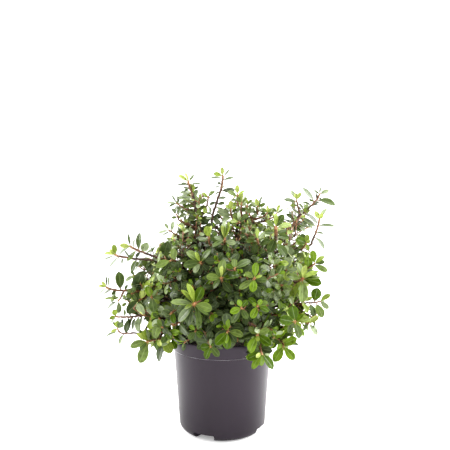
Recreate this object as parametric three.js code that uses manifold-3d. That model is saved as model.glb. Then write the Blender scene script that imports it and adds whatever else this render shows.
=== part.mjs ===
// A potted escallonia, a low and full evergreen shrub: a short stem in a nursery pot, wiry boughs that
// branch from it, and at the end of each bough one mass of twigs and leaves.
// Millimetres and degrees, +Z up, origin at the centre of the pot's flat underside. The front of the
// plant faces -Y and headings are counted from +X towards +Y, so the front is at 270.

import * as THREE from 'three';
import { mergeVertices } from 'three/addons/utils/BufferGeometryUtils.js';
import Module from 'manifold-3d';

const wasm = await Module();
wasm.setup();

// Driving sizes

// The gap between pieces that touch.
const clearance = 0.3;

const pot = {
  height: 166,
  rimRadius: 89.5,
  bandHeight: 21,
  bandStep: 1.2,
  bandSlope: 0.5,
  lipRound: 1.5,
  lipInset: 0.6,
  wallFootRadius: 77,
  footRadius: 68,
  cornerHeight: 9,
  wall: 2,
  segments: 36,
};

// The raised drain channels that cross the edge of the pot's foot, each with one slot through its roof.
const channel = {
  headings: [-25, 65, 155, 245],
  halfWidthDegrees: 16,
  innerRadius: 44,
  outerRadius: 97,
  taper: 0.8,
  roof: 8,
  belowFoot: 5,
  slotLength: 16,
  slotWidth: 6,
  slotHeight: 12,
};

const soil = { level: 150, edgeDrop: 1, restRadius: 14, dip: 3 };

const trunk = {
  radius: 7.5,
  topRadius: 6,
  flareRadius: 12,
  flareHeight: 14,
  height: 52,
  lean: [4, -3],
  ringShares: [0, 0.06, 0.14, 0.27, 0.6, 1],
  sides: 10,
};

const limb = {
  mainRadius: 3.8,
  sideRadius: 3,
  tipRadius: 1.7,
  rings: 8,
  sides: 6,
  rise: 16,
  leastFork: 38,
  startPull: 0.38,
  tipPull: 0.3,
  upTurn: 0.22,
  shortOfOutline: 34,
  leastBough: 0.46,
  massMiddle: 0.86,
  endSteps: 24,
  seatStep: 0.002,
  guardSteps: 16,
};

const crownCentre = new THREE.Vector3(0, 0, 258);

// Where the last leaf of every limb ends: its heading, how far it is from the pot's axis, and its height.
// A limb grows from the stem at the share "root" of its height, or, where "from" names another limb, from
// a point "at" that share of the other one's bough. The leader goes on from the stem's top.
const limbs = {
  top_centre: { heading: 80, reach: 15, height: 461, leader: true },
  top_left: { heading: 158, reach: 68, height: 450, root: 0.96 },
  top_right: { heading: 3, reach: 174, height: 410, root: 0.88 },
  right_high: { heading: 340, reach: 179, height: 379, from: 'top_right', at: 0.5 },
  crown_top: { heading: 319, reach: 64, height: 404, from: 'top_centre', at: 0.35 },
  right_mid: { heading: 326, reach: 181, height: 298, root: 0.46 },
  right_low: { heading: 344, reach: 190, height: 220, from: 'right_mid', at: 0.45 },
  front_skirt: { heading: 296, reach: 166, height: 162, root: 0.34 },
  right_skirt: { heading: 326, reach: 156, height: 152, from: 'front_skirt', at: 0.5 },
  front_skirt_left: { heading: 259, reach: 152, height: 176, from: 'front_skirt', at: 0.35 },
  front_high_right: { heading: 305, reach: 150, height: 356, root: 0.8 },
  front_centre: { heading: 283, reach: 210, height: 291, root: 0.58 },
  front_high: { heading: 271, reach: 150, height: 346, from: 'front_centre', at: 0.4 },
  front_left: { heading: 257, reach: 199, height: 257, root: 0.42 },
  front_low: { heading: 280, reach: 182, height: 220, from: 'front_centre', at: 0.8 },
  front_high_left: { heading: 236, reach: 165, height: 328, from: 'front_left', at: 0.45 },
  left_shoulder: { heading: 178, reach: 96, height: 372, from: 'top_left', at: 0.45 },
  left_high: { heading: 182, reach: 197, height: 300, root: 0.7 },
  left_mid: { heading: 190, reach: 211, height: 254, root: 0.38 },
  left_low: { heading: 199, reach: 196, height: 196, from: 'left_mid', at: 0.6 },
  left_skirt: { heading: 209, reach: 170, height: 152, from: 'left_mid', at: 0.35 },
  back_high_right: { heading: 45, reach: 150, height: 368, root: 0.72 },
  back_high_left: { heading: 115, reach: 150, height: 368, root: 0.74 },
  back_right: { heading: 28, reach: 196, height: 296, root: 0.44 },
  back_centre: { heading: 88, reach: 196, height: 296, root: 0.5 },
  back_left: { heading: 148, reach: 196, height: 296, root: 0.52 },
  back_low_right: { heading: 58, reach: 182, height: 211, from: 'back_right', at: 0.4 },
  back_low_left: { heading: 122, reach: 182, height: 211, from: 'back_left', at: 0.4 },
};

const twig = {
  count: 4,
  tries: 4,
  sides: 3,
  radius: 1.6,
  tipRadius: 1.4,
  angle: 48,
  upTurn: 0.15,
  bendAt: 0.5,
  lengthShare: 0.5,
  longest: 55,
  shortest: 0.8,
  spread: 0.4,
  belowTip: 26,
  aboveBough: 8,
  limbMargin: 2,
  potMargin: 3,
};

// A leaf is larger than life, because the real plant has several times as many.
const leaf = {
  length: 42,
  spread: 0.1,
  smaller: 0.78,
  widthShare: 0.58,
  widestAt: 0.6,
  thickness: 1.4,
  keelAt: 0.24,
  fold: 0.04,
  droop: 0.06,
  sunk: 0.5,
  angles: [12, 42, 54, 66, 74],
  belowTip: 1.5,
  spacing: 4.5,
  limbMargin: 4.2,
  potMargin: 5,
  testRows: 6,
  testWidth: 0.75,
};

const goldenAngle = 137.508;
const spaceGap = 0.4;
const seeds = { first: 5, step: 9 };

// Vectors and seeded numbers

const vector = (x, y, z) => new THREE.Vector3(x, y, z);
const radians = THREE.MathUtils.degToRad;
const lerp = THREE.MathUtils.lerp;
const up = vector(0, 0, 1);

function outward(heading) {
  return vector(Math.cos(radians(heading)), Math.sin(radians(heading)), 0);
}

// The direction square to an axis that lies at a turn about it, counted from a side.
function about(axis, side, turn) {
  const across = side.clone().addScaledVector(axis, -side.dot(axis)).normalize();
  const other = axis.clone().cross(across);
  return across.multiplyScalar(Math.cos(turn)).addScaledVector(other, Math.sin(turn));
}

// The direction that leans away from an axis by a slope, towards another one square to it.
function leaning(axis, out, slope) {
  return axis.clone().multiplyScalar(Math.cos(slope)).addScaledVector(out, Math.sin(slope));
}

function seededNumbers(seed) {
  let state = seed;
  return () => {
    state = (state + 0x6d2b79f5) | 0;
    let t = Math.imul(state ^ (state >>> 15), 1 | state);
    t = (t + Math.imul(t ^ (t >>> 7), 61 | t)) ^ t;
    return ((t ^ (t >>> 14)) >>> 0) / 4294967296;
  };
}

// Solids

function solidOf(geometry) {
  const bare = geometry.clone();
  bare.deleteAttribute('normal');
  bare.deleteAttribute('uv');
  const merged = mergeVertices(bare, 1e-4);
  const mesh = new wasm.Mesh({
    numProp: 3,
    vertProperties: merged.attributes.position.array,
    triVerts: new Uint32Array(merged.index.array),
  });
  return new wasm.Manifold(mesh);
}

function geometryOf(solid) {
  const mesh = solid.getMesh();
  const geometry = new THREE.BufferGeometry();
  geometry.setAttribute('position', new THREE.BufferAttribute(mesh.vertProperties, 3));
  geometry.setIndex(new THREE.BufferAttribute(mesh.triVerts, 1));
  const faceted = geometry.toNonIndexed();
  faceted.computeVertexNormals();
  return faceted;
}

// A turned solid about Z. The profile runs from the bottom of the axis outwards and up to its top.
function turned(profile) {
  const points = profile.map(([radius, height]) => new THREE.Vector2(radius, height));
  return solidOf(new THREE.LatheGeometry(points, pot.segments).rotateX(Math.PI / 2));
}

// A closed skin over a row of rings that have the same number of points.
function skin(rings) {
  const sides = rings[0].length;
  const faces = [];
  for (let r = 0; r + 1 < rings.length; r += 1) {
    for (let s = 0; s < sides; s += 1) {
      const a = r * sides + s;
      const b = r * sides + ((s + 1) % sides);
      faces.push(a, b, b + sides, a, b + sides, a + sides);
    }
  }
  const last = (rings.length - 1) * sides;
  for (let s = 1; s + 1 < sides; s += 1) {
    faces.push(0, s + 1, s, last, last + s, last + s + 1);
  }
  const positions = rings.flat().flatMap((point) => point.toArray());
  const geometry = new THREE.BufferGeometry();
  geometry.setAttribute('position', new THREE.Float32BufferAttribute(positions, 3));
  geometry.setIndex(faces);
  return solidOf(geometry);
}

// The points of a ring about a centre, square to a direction.
function ring(centre, direction, radius, sides, side) {
  return Array.from({ length: sides }, (_, s) => {
    const turn = (2 * Math.PI * s) / sides;
    return centre.clone().addScaledVector(about(direction, side, turn), radius);
  });
}

// Pot and soil

function wallRadius(height) {
  return lerp(pot.wallFootRadius, pot.rimRadius - pot.bandStep, height / pot.height);
}

// The rounded corner between the foot and the wall, moved inwards and up by an inset.
function cornerProfile(inset, steps) {
  const foot = pot.footRadius - inset;
  const width = wallRadius(pot.cornerHeight) - inset - foot;
  return Array.from({ length: steps + 1 }, (_, i) => {
    const angle = (Math.PI / 2) * (i / steps);
    return [foot + width * Math.sin(angle), inset + pot.cornerHeight * (1 - Math.cos(angle))];
  });
}

// The space of a drain channel, grown on all sides.
function drainChannel(heading, grow) {
  const half = radians(channel.halfWidthDegrees) + grow / channel.innerRadius;
  const inner = channel.innerRadius - grow;
  const corner = (radius, angle) => new THREE.Vector2(radius * Math.cos(angle), radius * Math.sin(angle));
  const outline = new THREE.Shape([
    corner(inner, -half * channel.taper),
    corner(channel.outerRadius, -half),
    corner(channel.outerRadius, half),
    corner(inner, half * channel.taper),
  ]);
  const depth = channel.belowFoot + channel.roof + grow;
  const body = new THREE.ExtrudeGeometry(outline, { depth, bevelEnabled: false });
  return solidOf(body.translate(0, 0, -channel.belowFoot).rotateZ(radians(heading)));
}

function drainSlot(heading) {
  const slot = new THREE.BoxGeometry(channel.slotLength, channel.slotWidth, channel.slotHeight);
  const middle = channel.innerRadius + channel.slotLength;
  return solidOf(slot.translate(middle, 0, channel.roof).rotateZ(radians(heading)));
}

function makePot() {
  const bandFoot = pot.height - pot.bandHeight;
  const outside = turned([
    [0, 0],
    ...cornerProfile(0, 3),
    [wallRadius(bandFoot), bandFoot],
    [wallRadius(bandFoot) + pot.bandStep, bandFoot + pot.bandSlope],
    [pot.rimRadius, pot.height - pot.lipRound],
    [pot.rimRadius - pot.lipInset, pot.height],
    [0, pot.height],
  ]);
  const aboveRim = pot.height + 1;
  let room = turned([
    [0, pot.wall],
    ...cornerProfile(pot.wall, 2),
    [wallRadius(aboveRim) - pot.wall, aboveRim],
    [0, aboveRim],
  ]);
  for (const heading of channel.headings) room = room.subtract(drainChannel(heading, pot.wall));
  let shell = outside.subtract(room);
  for (const heading of channel.headings) {
    shell = shell.subtract(drainChannel(heading, 0)).subtract(drainSlot(heading));
  }
  return shell;
}

// The soil fills the pot to its level, with a slight dip between the stem and the wall.
function makeSoil() {
  const wall = pot.wall + clearance;
  const edge = wallRadius(soil.level) - wall;
  let filling = turned([
    [0, wall],
    ...cornerProfile(wall, 1),
    [edge, soil.level - soil.edgeDrop],
    [(edge + soil.restRadius) / 2, soil.level - soil.dip],
    [soil.restRadius, soil.level],
    [0, soil.level],
  ]);
  for (const heading of channel.headings) filling = filling.subtract(drainChannel(heading, wall));
  return filling;
}

// Stem and limbs

const trunkFoot = vector(0, 0, soil.level + clearance);
const trunkTop = vector(trunk.lean[0], trunk.lean[1], trunkFoot.z + trunk.height);
const trunkAxis = trunkTop.clone().sub(trunkFoot).normalize();

function trunkRadius(share) {
  const flare = Math.max(0, 1 - (share * trunk.height) / trunk.flareHeight) ** 2;
  const taper = lerp(trunk.radius, trunk.topRadius, share);
  return taper + (trunk.flareRadius - trunk.radius) * flare;
}

function makeTrunk() {
  const rings = trunk.ringShares.map((share) => {
    const centre = trunkFoot.clone().lerp(trunkTop, share);
    return ring(centre, up, trunkRadius(share), trunk.sides, vector(1, 0, 0));
  });
  return skin(rings);
}

// Where a limb's wood ends: short of the crown's outline by the reach of its last leaves.
function tipOf({ heading, reach, height }) {
  const outline = outward(heading).multiplyScalar(reach).setZ(height);
  const inwards = crownCentre.clone().sub(outline).normalize();
  return outline.addScaledVector(inwards, limb.shortOfOutline);
}

// The direction in which a limb leaves its carrier: towards its tip, but steeper, and at a clear fork.
function leavingDirection(start, tip, axis) {
  const span = tip.clone().sub(start);
  const slope = Math.atan2(span.z, Math.hypot(span.x, span.y)) + radians(limb.rise);
  const away = leaning(span.setZ(0).normalize(), up, slope);
  const fork = radians(limb.leastFork);
  if (away.angleTo(axis) > fork) return away;
  return leaning(axis, about(axis, away, 0), fork);
}

// A limb's path: it leaves its carrier, arches over and turns outwards at its tip.
function pathBetween(start, tip, away) {
  const finish = tip.clone().sub(crownCentre).normalize().addScaledVector(up, limb.upTurn).normalize();
  const length = start.distanceTo(tip);
  return new THREE.CubicBezierCurve3(
    start,
    start.clone().addScaledVector(away, length * limb.startPull),
    tip.clone().addScaledVector(finish, -length * limb.tipPull),
    tip,
  );
}

// What a limb grows from: a point, the direction of the wood there, and its radius.
function carrierOf(one) {
  if (one.from) {
    const parent = layLimb(one.from);
    const t = one.at * limb.leastBough;
    return { point: parent.path.getPoint(t), axis: parent.path.getTangent(t), radius: parent.radius(t) };
  }
  const share = one.root ?? 1;
  return { point: trunkFoot.clone().lerp(trunkTop, share), axis: trunkAxis, radius: trunkRadius(share) };
}

// Adds to a limb its path, its radius along the path and the plane of its carrier's surface, its seat.
function layLimb(name) {
  const one = limbs[name];
  if (one.path) return one;
  const carrier = carrierOf(one);
  const tip = tipOf(one);
  const away = one.leader ? trunkAxis : leavingDirection(carrier.point, tip, carrier.axis);
  const root = one.from ? limb.sideRadius : limb.mainRadius;
  one.path = pathBetween(carrier.point, tip, away);
  one.radius = (t) => lerp(root, limb.tipRadius, t);
  one.side = outward(one.heading + 90);
  one.seat = { normal: up, offset: trunkTop.z + clearance };
  if (!one.leader) {
    const normal = about(carrier.axis, away, 0);
    one.seat = { normal, offset: normal.dot(carrier.point) + carrier.radius + clearance };
  }
  return one;
}

function ringAt(one, t, sides = limb.sides) {
  return ring(one.path.getPoint(t), one.path.getTangent(t), one.radius(t), sides, one.side);
}

// The rings of a limb between two shares of its path.
function limbRings(one, from, to, sides) {
  const count = Math.max(2, Math.round((to - from) * limb.rings));
  return Array.from({ length: count + 1 }, (_, i) => ringAt(one, lerp(from, to, i / count), sides));
}

// A bough runs from its carrier to its end, with its first ring cut flat where it seats.
function makeBough(one) {
  const rings = limbRings(one, one.start, one.end, limb.sides);
  const along = one.path.getTangent(one.start);
  const { normal, offset } = one.seat;
  rings[0] = rings[0].map((point) => {
    return point.addScaledVector(along, (offset - normal.dot(point)) / normal.dot(along));
  });
  return skin(rings);
}

const names = Object.keys(limbs);
const laid = names.map(layLimb);

// Each mass keeps to the space that lies nearer to its own middle than to any other mass's.
const middles = laid.map((one) => one.path.getPoint(limb.massMiddle));

function inOwnSpace(index, point) {
  return middles.every((other, j) => {
    if (j === index) return true;
    const between = other.clone().sub(middles[index]);
    const border = middles[index].clone().add(other).multiplyScalar(0.5);
    return point.clone().sub(border).dot(between) / between.length() < -spaceGap;
  });
}

// The bough ends where the limb enters its mass's own space.
function boughEnd(index) {
  const one = laid[index];
  const first = Math.round(limb.leastBough * limb.endSteps);
  const inside = (step) => ringAt(one, step / limb.endSteps).every((p) => inOwnSpace(index, p));
  let end = limb.endSteps;
  while (end > first && inside(end - 1)) end -= 1;
  return end / limb.endSteps;
}

// The bough starts where the whole ring has come out of its carrier.
function boughStart(one) {
  const clear = (t) => ringAt(one, t).every((p) => one.seat.normal.dot(p) > one.seat.offset);
  let start = 0;
  while (start < one.end && !clear(start)) start += limb.seatStep;
  return start;
}

laid.forEach((one, index) => {
  one.end = boughEnd(index);
  one.start = boughStart(one);
});

// Limbs and pot, which twigs and leaves keep clear of

const boughLines = laid.map((one) =>
  Array.from({ length: limb.guardSteps + 1 }, (_, i) => {
    const t = (one.end * i) / limb.guardSteps;
    return { point: one.path.getPoint(t), radius: one.radius(t) };
  }),
);

function clearOfBoughs(point, margin) {
  const segment = new THREE.Line3();
  const nearest = vector(0, 0, 0);
  return boughLines.every((line) =>
    line.slice(1).every((next, i) => {
      segment.set(line[i].point, next.point);
      segment.closestPointToPoint(point, true, nearest);
      return nearest.distanceTo(point) >= line[i].radius + margin;
    }),
  );
}

function clearOfPot(point, margin) {
  return point.z > pot.height + margin || Math.hypot(point.x, point.y) > pot.rimRadius + margin;
}

// Leaves

// The five corners of a leaf: base, tip, the two widest places of its blade, and the keel below its midrib.
function leafCorners(base, direction, face, length) {
  const across = face.clone().cross(direction).normalize();
  const half = (length * leaf.widthShare) / 2;
  const at = (along, aside, lift) =>
    base
      .clone()
      .addScaledVector(direction, along * length)
      .addScaledVector(across, aside)
      .addScaledVector(face, lift);
  return {
    base: at(0, 0, 0),
    tip: at(1, 0, -leaf.droop * length),
    left: at(leaf.widestAt, half, leaf.fold * length),
    right: at(leaf.widestAt, -half, leaf.fold * length),
    keel: at(leaf.keelAt, 0, -leaf.thickness),
  };
}

// A thin blade: two faces above, and four below that meet at the keel.
function leafSolid({ base, tip, left, right, keel }) {
  const corners = [base, tip, left, right, keel].flatMap((corner) => corner.toArray());
  const blade = new THREE.BufferGeometry();
  blade.setAttribute('position', new THREE.Float32BufferAttribute(corners, 3));
  blade.setIndex([0, 3, 2, 3, 1, 2, 0, 2, 4, 2, 1, 4, 1, 3, 4, 3, 0, 4]);
  return solidOf(blade);
}

// Whether a leaf keeps to its mass's space and clear of the boughs and the pot, tested along its midrib
// and near both edges.
function leafFits(index, corners) {
  if (!Object.values(corners).every((p) => inOwnSpace(index, p))) return false;
  for (let row = 1; row <= leaf.testRows; row += 1) {
    const share = row / leaf.testRows;
    const midrib = corners.base.clone().lerp(corners.tip, share);
    const width = leaf.testWidth * (1 - Math.abs(share - leaf.widestAt) / leaf.widestAt);
    for (const edge of [corners.left, corners.right, midrib]) {
      const point = midrib.clone().lerp(edge, width);
      if (!clearOfBoughs(point, leaf.limbMargin) || !clearOfPot(point, leaf.potMargin)) return false;
    }
  }
  return true;
}

// Whether a new blade stands free of the mass's other leaves and of all its wood but its own carrier.
function standsFree(mass, carrier, blade) {
  const others = [...mass.leaves, ...mass.wood.filter((piece) => piece !== carrier)];
  return others.every((other) => other.intersect(blade).isEmpty());
}

// Adds a leaf that leaves its carrier's curve at a share of its length, or none where it has no room.
function growLeaf(mass, { curve, solid }, share, turn, angle, length) {
  const axis = curve.getTangentAt(share);
  const out = about(axis, mass.one.side, turn);
  const along = leaning(axis, out, radians(angle));
  const face = leaning(out.negate(), axis, radians(angle));
  const base = curve.getPointAt(share).addScaledVector(along, -leaf.sunk);
  const corners = leafCorners(base, along, face, length);
  if (!leafFits(mass.index, corners)) return false;
  const blade = leafSolid(corners);
  if (!standsFree(mass, solid, blade)) return false;
  mass.leaves.push(blade);
  return true;
}

// A spray of leaves round and down from the tip of a twig or stem, the lower ones more open. Each leaf
// leaves the middle of a flat side: where one side has no room it tries the next, and then all of them
// again as a smaller leaf.
function growSpray(mass, carrier) {
  const first = Math.floor(mass.random() * twig.sides) + 0.5;
  const length = carrier.curve.getLength();
  leaf.angles.forEach((angle, i) => {
    const share = 1 - (leaf.belowTip + leaf.spacing * i) / length;
    const full = leaf.length * (1 + leaf.spread * (2 * mass.random() - 1));
    for (let attempt = 0; attempt < 2 * twig.sides; attempt += 1) {
      const turn = (2 * Math.PI * (first + i + attempt)) / twig.sides;
      const size = attempt < twig.sides ? full : full * leaf.smaller;
      if (growLeaf(mass, carrier, share, turn, angle, size)) break;
    }
  });
}

// Twigs and masses

// A side twig of a mass's stem, turned up a little towards its end.
function twigCurve(mass, t, turn, length) {
  const start = mass.one.path.getPoint(t);
  const axis = mass.one.path.getTangent(t);
  const away = leaning(axis, about(axis, mass.one.side, turn), radians(twig.angle));
  const bend = start.clone().addScaledVector(away, length * twig.bendAt);
  const end = start.clone().addScaledVector(away, length).addScaledVector(up, length * twig.upTurn);
  return new THREE.QuadraticBezierCurve3(start, bend, end);
}

function twigRings(mass, curve) {
  const end = (t, radius) => ring(curve.getPoint(t), curve.getTangent(t), radius, twig.sides, mass.one.side);
  return [end(0, twig.radius), end(1, twig.tipRadius)];
}

function twigFits(index, point) {
  if (!inOwnSpace(index, point)) return false;
  return clearOfBoughs(point, twig.limbMargin) && clearOfPot(point, twig.potMargin);
}

// The twigs of a mass, spread down its stem and turned on by the golden angle. Where a twig has no room
// it tries the next turn.
function growTwigs(mass) {
  const twigs = [];
  const first = mass.random() * 360;
  const length = mass.one.path.getLength();
  const highest = 1 - twig.belowTip / length;
  const lowest = mass.one.end + twig.aboveBough / length;
  const full = Math.min(twig.longest, length * (1 - mass.one.end) * twig.lengthShare);
  for (let i = 0; i < twig.count; i += 1) {
    const t = lerp(highest, lowest, i / (twig.count - 1));
    const reach = full * (twig.shortest + twig.spread * mass.random());
    for (let attempt = 0; attempt < twig.tries; attempt += 1) {
      const curve = twigCurve(mass, t, radians(first + goldenAngle * (i + attempt)), reach);
      const rings = twigRings(mass, curve);
      if (rings[1].every((p) => twigFits(mass.index, p))) {
        twigs.push({ curve, solid: skin(rings) });
        break;
      }
    }
  }
  return twigs;
}

// One mass: its stem goes on from the bough's tip, with twigs and leaves fused on.
function makeMass(index) {
  const one = laid[index];
  const from = one.end + clearance / one.path.getLength();
  const mass = { index, one, leaves: [], random: seededNumbers(seeds.first + seeds.step * index) };
  const stem = { curve: one.path, solid: skin(limbRings(one, from, 1, twig.sides)) };
  const carriers = [stem, ...growTwigs(mass)];
  mass.wood = carriers.map(({ solid }) => solid);
  for (const carrier of carriers) growSpray(mass, carrier);
  const whole = [...mass.wood, ...mass.leaves].reduce((joined, piece) => joined.add(piece));
  return whole.decompose().sort((a, b) => b.volume() - a.volume())[0];
}

// Finishes and the whole plant

const finishes = {
  pot: { color: 0x2b292c, roughness: 0.45, metalness: 0 },
  soil: { color: 0x2e2117, roughness: 1, metalness: 0 },
  bark: { color: 0x6b4a34, roughness: 0.85, metalness: 0 },
  foliage: { color: 0x5f7d33, roughness: 0.5, metalness: 0 },
};

const plant = new THREE.Group();

function addPiece(name, solid, finish) {
  const mesh = new THREE.Mesh(geometryOf(solid), new THREE.MeshStandardMaterial(finishes[finish]));
  mesh.name = name;
  plant.add(mesh);
}

addPiece('pot', makePot(), 'pot');
addPiece('soil', makeSoil(), 'soil');
addPiece('trunk', makeTrunk(), 'bark');
laid.forEach((one, index) => {
  addPiece(`bough_${names[index]}`, makeBough(one), 'bark');
  addPiece(`foliage_${names[index]}`, makeMass(index), 'foliage');
});

export default plant;
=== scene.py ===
# Potted escallonia out of flower: pot, soil, bark, twigs and leaves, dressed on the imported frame.
# Metres, +Z up. The front of the plant faces -Y and headings turn from +X towards +Y.
import itertools
import math

import bpy
import numpy as np
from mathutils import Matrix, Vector


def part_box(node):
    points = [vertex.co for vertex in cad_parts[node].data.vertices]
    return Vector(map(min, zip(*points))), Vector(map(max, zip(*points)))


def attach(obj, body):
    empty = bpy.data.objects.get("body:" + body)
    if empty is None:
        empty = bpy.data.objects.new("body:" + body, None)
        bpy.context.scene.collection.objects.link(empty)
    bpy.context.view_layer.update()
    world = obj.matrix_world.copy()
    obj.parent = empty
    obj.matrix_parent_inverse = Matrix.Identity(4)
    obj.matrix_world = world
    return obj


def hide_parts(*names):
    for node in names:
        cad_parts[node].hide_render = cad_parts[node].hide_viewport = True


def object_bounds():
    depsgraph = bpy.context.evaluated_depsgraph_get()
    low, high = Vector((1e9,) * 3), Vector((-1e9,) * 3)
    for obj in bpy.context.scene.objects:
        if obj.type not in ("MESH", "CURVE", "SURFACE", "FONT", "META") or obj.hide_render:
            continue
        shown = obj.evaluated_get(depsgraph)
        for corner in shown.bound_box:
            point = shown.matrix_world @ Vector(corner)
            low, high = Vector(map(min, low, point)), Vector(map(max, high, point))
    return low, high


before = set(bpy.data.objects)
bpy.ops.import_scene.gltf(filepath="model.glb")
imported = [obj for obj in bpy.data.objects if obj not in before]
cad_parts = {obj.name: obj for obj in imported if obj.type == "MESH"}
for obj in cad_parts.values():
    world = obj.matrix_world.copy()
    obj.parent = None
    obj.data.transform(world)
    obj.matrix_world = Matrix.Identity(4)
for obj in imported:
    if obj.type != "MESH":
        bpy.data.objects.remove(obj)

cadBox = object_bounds()
scene = bpy.context.scene
up = Vector((0, 0, 1))


# Camera, at the height and distance of the photo's

cameraSet = {
    "lens": 40.0,
    "sensor": 36.0,
    "frame": 450,    # pixels along each side of the photo
    "distance": 0.905,
    "height": 0.391,
    "aside": 0.0049,
    "tiltDown": 1.72,
}
cameraPlace = Vector((cameraSet["aside"], -cameraSet["distance"], cameraSet["height"]))
cameraTilt = math.radians(cameraSet["tiltDown"])
focalPixels = cameraSet["lens"] / cameraSet["sensor"] * cameraSet["frame"]
frameMiddle = cameraSet["frame"] / 2


def makeCamera(s):
    bpy.ops.object.camera_add(location=cameraPlace, rotation=(math.radians(90 - s["tiltDown"]), 0, 0))
    camera = bpy.context.object
    camera.data.lens = s["lens"]
    camera.data.sensor_width = s["sensor"]
    scene.camera = camera


def onPixel(pixel, depth):
    # the place at a depth that shows at a pixel of the photo
    across, rise = (pixel[0] - frameMiddle) / focalPixels, (frameMiddle - pixel[1]) / focalPixels
    ahead, sink = math.cos(cameraTilt), math.sin(cameraTilt)
    ray = Vector((across, ahead + rise * sink, rise * ahead - sink))
    return cameraPlace + ray * ((depth - cameraPlace.y) / ray.y)


def pixelOf(place):
    # where a place shows in the photo
    off = Vector(place) - cameraPlace
    ahead = off.y * math.cos(cameraTilt) - off.z * math.sin(cameraTilt)
    rise = off.y * math.sin(cameraTilt) + off.z * math.cos(cameraTilt)
    return frameMiddle + focalPixels * off.x / ahead, frameMiddle - focalPixels * rise / ahead


makeCamera(cameraSet)
print("camera placed")


# Materials

def newMaterial(name, colour, roughness, **sockets):
    material = bpy.data.materials.new(name)
    material.use_nodes = True
    shader = material.node_tree.nodes["Principled BSDF"]
    shader.inputs["Base Color"].default_value = (*colour, 1)
    shader.inputs["Roughness"].default_value = roughness
    for socket, value in sockets.items():
        shader.inputs[socket.replace("_", " ")].default_value = value
    return material


def objectNoise(material, scale, detail, stretch=(1, 1, 1)):
    nodes, links = material.node_tree.nodes, material.node_tree.links
    place = nodes.new("ShaderNodeTexCoord")
    mapping = nodes.new("ShaderNodeMapping")
    mapping.inputs["Scale"].default_value = stretch
    noise = nodes.new("ShaderNodeTexNoise")
    noise.inputs["Scale"].default_value = scale
    noise.inputs["Detail"].default_value = detail
    links.new(place.outputs["Object"], mapping.inputs["Vector"])
    links.new(mapping.outputs["Vector"], noise.inputs["Vector"])
    return noise


def colourBy(material, noise, dark, light, low=0.3, high=0.7):
    nodes, links = material.node_tree.nodes, material.node_tree.links
    ramp = nodes.new("ShaderNodeValToRGB")
    for stop, position, colour in zip(ramp.color_ramp.elements, (low, high), (dark, light)):
        stop.position = position
        stop.color = (*colour, 1)
    links.new(noise.outputs["Fac"], ramp.inputs["Fac"])
    links.new(ramp.outputs["Color"], nodes["Principled BSDF"].inputs["Base Color"])


def roughnessBy(material, noise, low, high):
    nodes, links = material.node_tree.nodes, material.node_tree.links
    reach = nodes.new("ShaderNodeMapRange")
    reach.inputs["To Min"].default_value = low
    reach.inputs["To Max"].default_value = high
    links.new(noise.outputs["Fac"], reach.inputs["Value"])
    links.new(reach.outputs["Result"], nodes["Principled BSDF"].inputs["Roughness"])


def bumpBy(material, noise, strength, distance):
    nodes, links = material.node_tree.nodes, material.node_tree.links
    bump = nodes.new("ShaderNodeBump")
    bump.inputs["Strength"].default_value = strength
    bump.inputs["Distance"].default_value = distance
    links.new(noise.outputs["Fac"], bump.inputs["Height"])
    links.new(bump.outputs["Normal"], nodes["Principled BSDF"].inputs["Normal"])


def shaded(colour, share):
    return tuple(min(1.0, value * share) for value in colour)


# Meshes

def meshFromArrays(name, corners, faces, slots, materials):
    # from lists of arrays with a row for each corner, for each face and for each face's material slot
    corners, faces, slots = np.concatenate(corners), np.concatenate(faces), np.concatenate(slots)
    mesh = bpy.data.meshes.new(name)
    mesh.vertices.add(len(corners))
    mesh.vertices.foreach_set("co", np.asarray(corners, np.float32).ravel())
    mesh.loops.add(faces.size)
    mesh.loops.foreach_set("vertex_index", faces.astype(np.int32).ravel())
    mesh.polygons.add(len(faces))
    mesh.polygons.foreach_set("loop_start", np.arange(0, faces.size, faces.shape[1], dtype=np.int32))
    mesh.polygons.foreach_set("material_index", np.asarray(slots, np.int32))
    mesh.update(calc_edges=True)
    mesh.validate()
    mesh.shade_smooth()
    for material in materials:
        mesh.materials.append(material)
    piece = bpy.data.objects.new(name, mesh)
    scene.collection.objects.link(piece)
    return piece


def startEdit(mode):
    bpy.ops.object.mode_set(mode="EDIT")
    bpy.ops.mesh.select_mode(type=mode)


def finishEdit(weld=1e-6):
    bpy.ops.mesh.select_all(action="SELECT")
    bpy.ops.mesh.remove_doubles(threshold=weld)
    bpy.ops.mesh.normals_make_consistent(inside=False)
    bpy.ops.object.mode_set(mode="OBJECT")


def selectOnly(piece):
    bpy.ops.object.select_all(action="DESELECT")
    bpy.context.view_layer.objects.active = piece
    piece.select_set(True)


def applyModifier(piece, kind, **settings):
    selectOnly(piece)
    modifier = piece.modifiers.new(kind.lower(), kind)
    for name, value in settings.items():
        setattr(modifier, name, value)
    bpy.ops.object.modifier_apply(modifier=modifier.name)


def raiseProfile(name, sides, profile):
    # a filled circle at the first (radius, height), whose face is drawn up and in through the rest
    radius, height = profile[0]
    place = (0, 0, height)
    bpy.ops.mesh.primitive_circle_add(vertices=sides, radius=radius, fill_type="NGON", location=place)
    piece = bpy.context.object
    piece.name = piece.data.name = name
    startEdit("FACE")
    bpy.ops.mesh.select_all(action="SELECT")
    for nextRadius, nextHeight in profile[1:]:
        bpy.ops.mesh.extrude_region_move(TRANSFORM_OT_translate={"value": (0, 0, nextHeight - height)})
        share = nextRadius / radius
        bpy.ops.transform.resize(value=(share, share, 1), center_override=(0, 0, nextHeight))
        radius, height = nextRadius, nextHeight
    finishEdit()
    bpy.ops.object.transform_apply(location=True, rotation=True, scale=True)
    return piece


def displaceBy(piece, name, size, strength, **settings):
    texture = bpy.data.textures.new(name, "CLOUDS")
    texture.noise_scale = size
    applyModifier(piece, "DISPLACE", texture=texture, strength=strength, texture_coords="LOCAL", **settings)


# Pot

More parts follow.
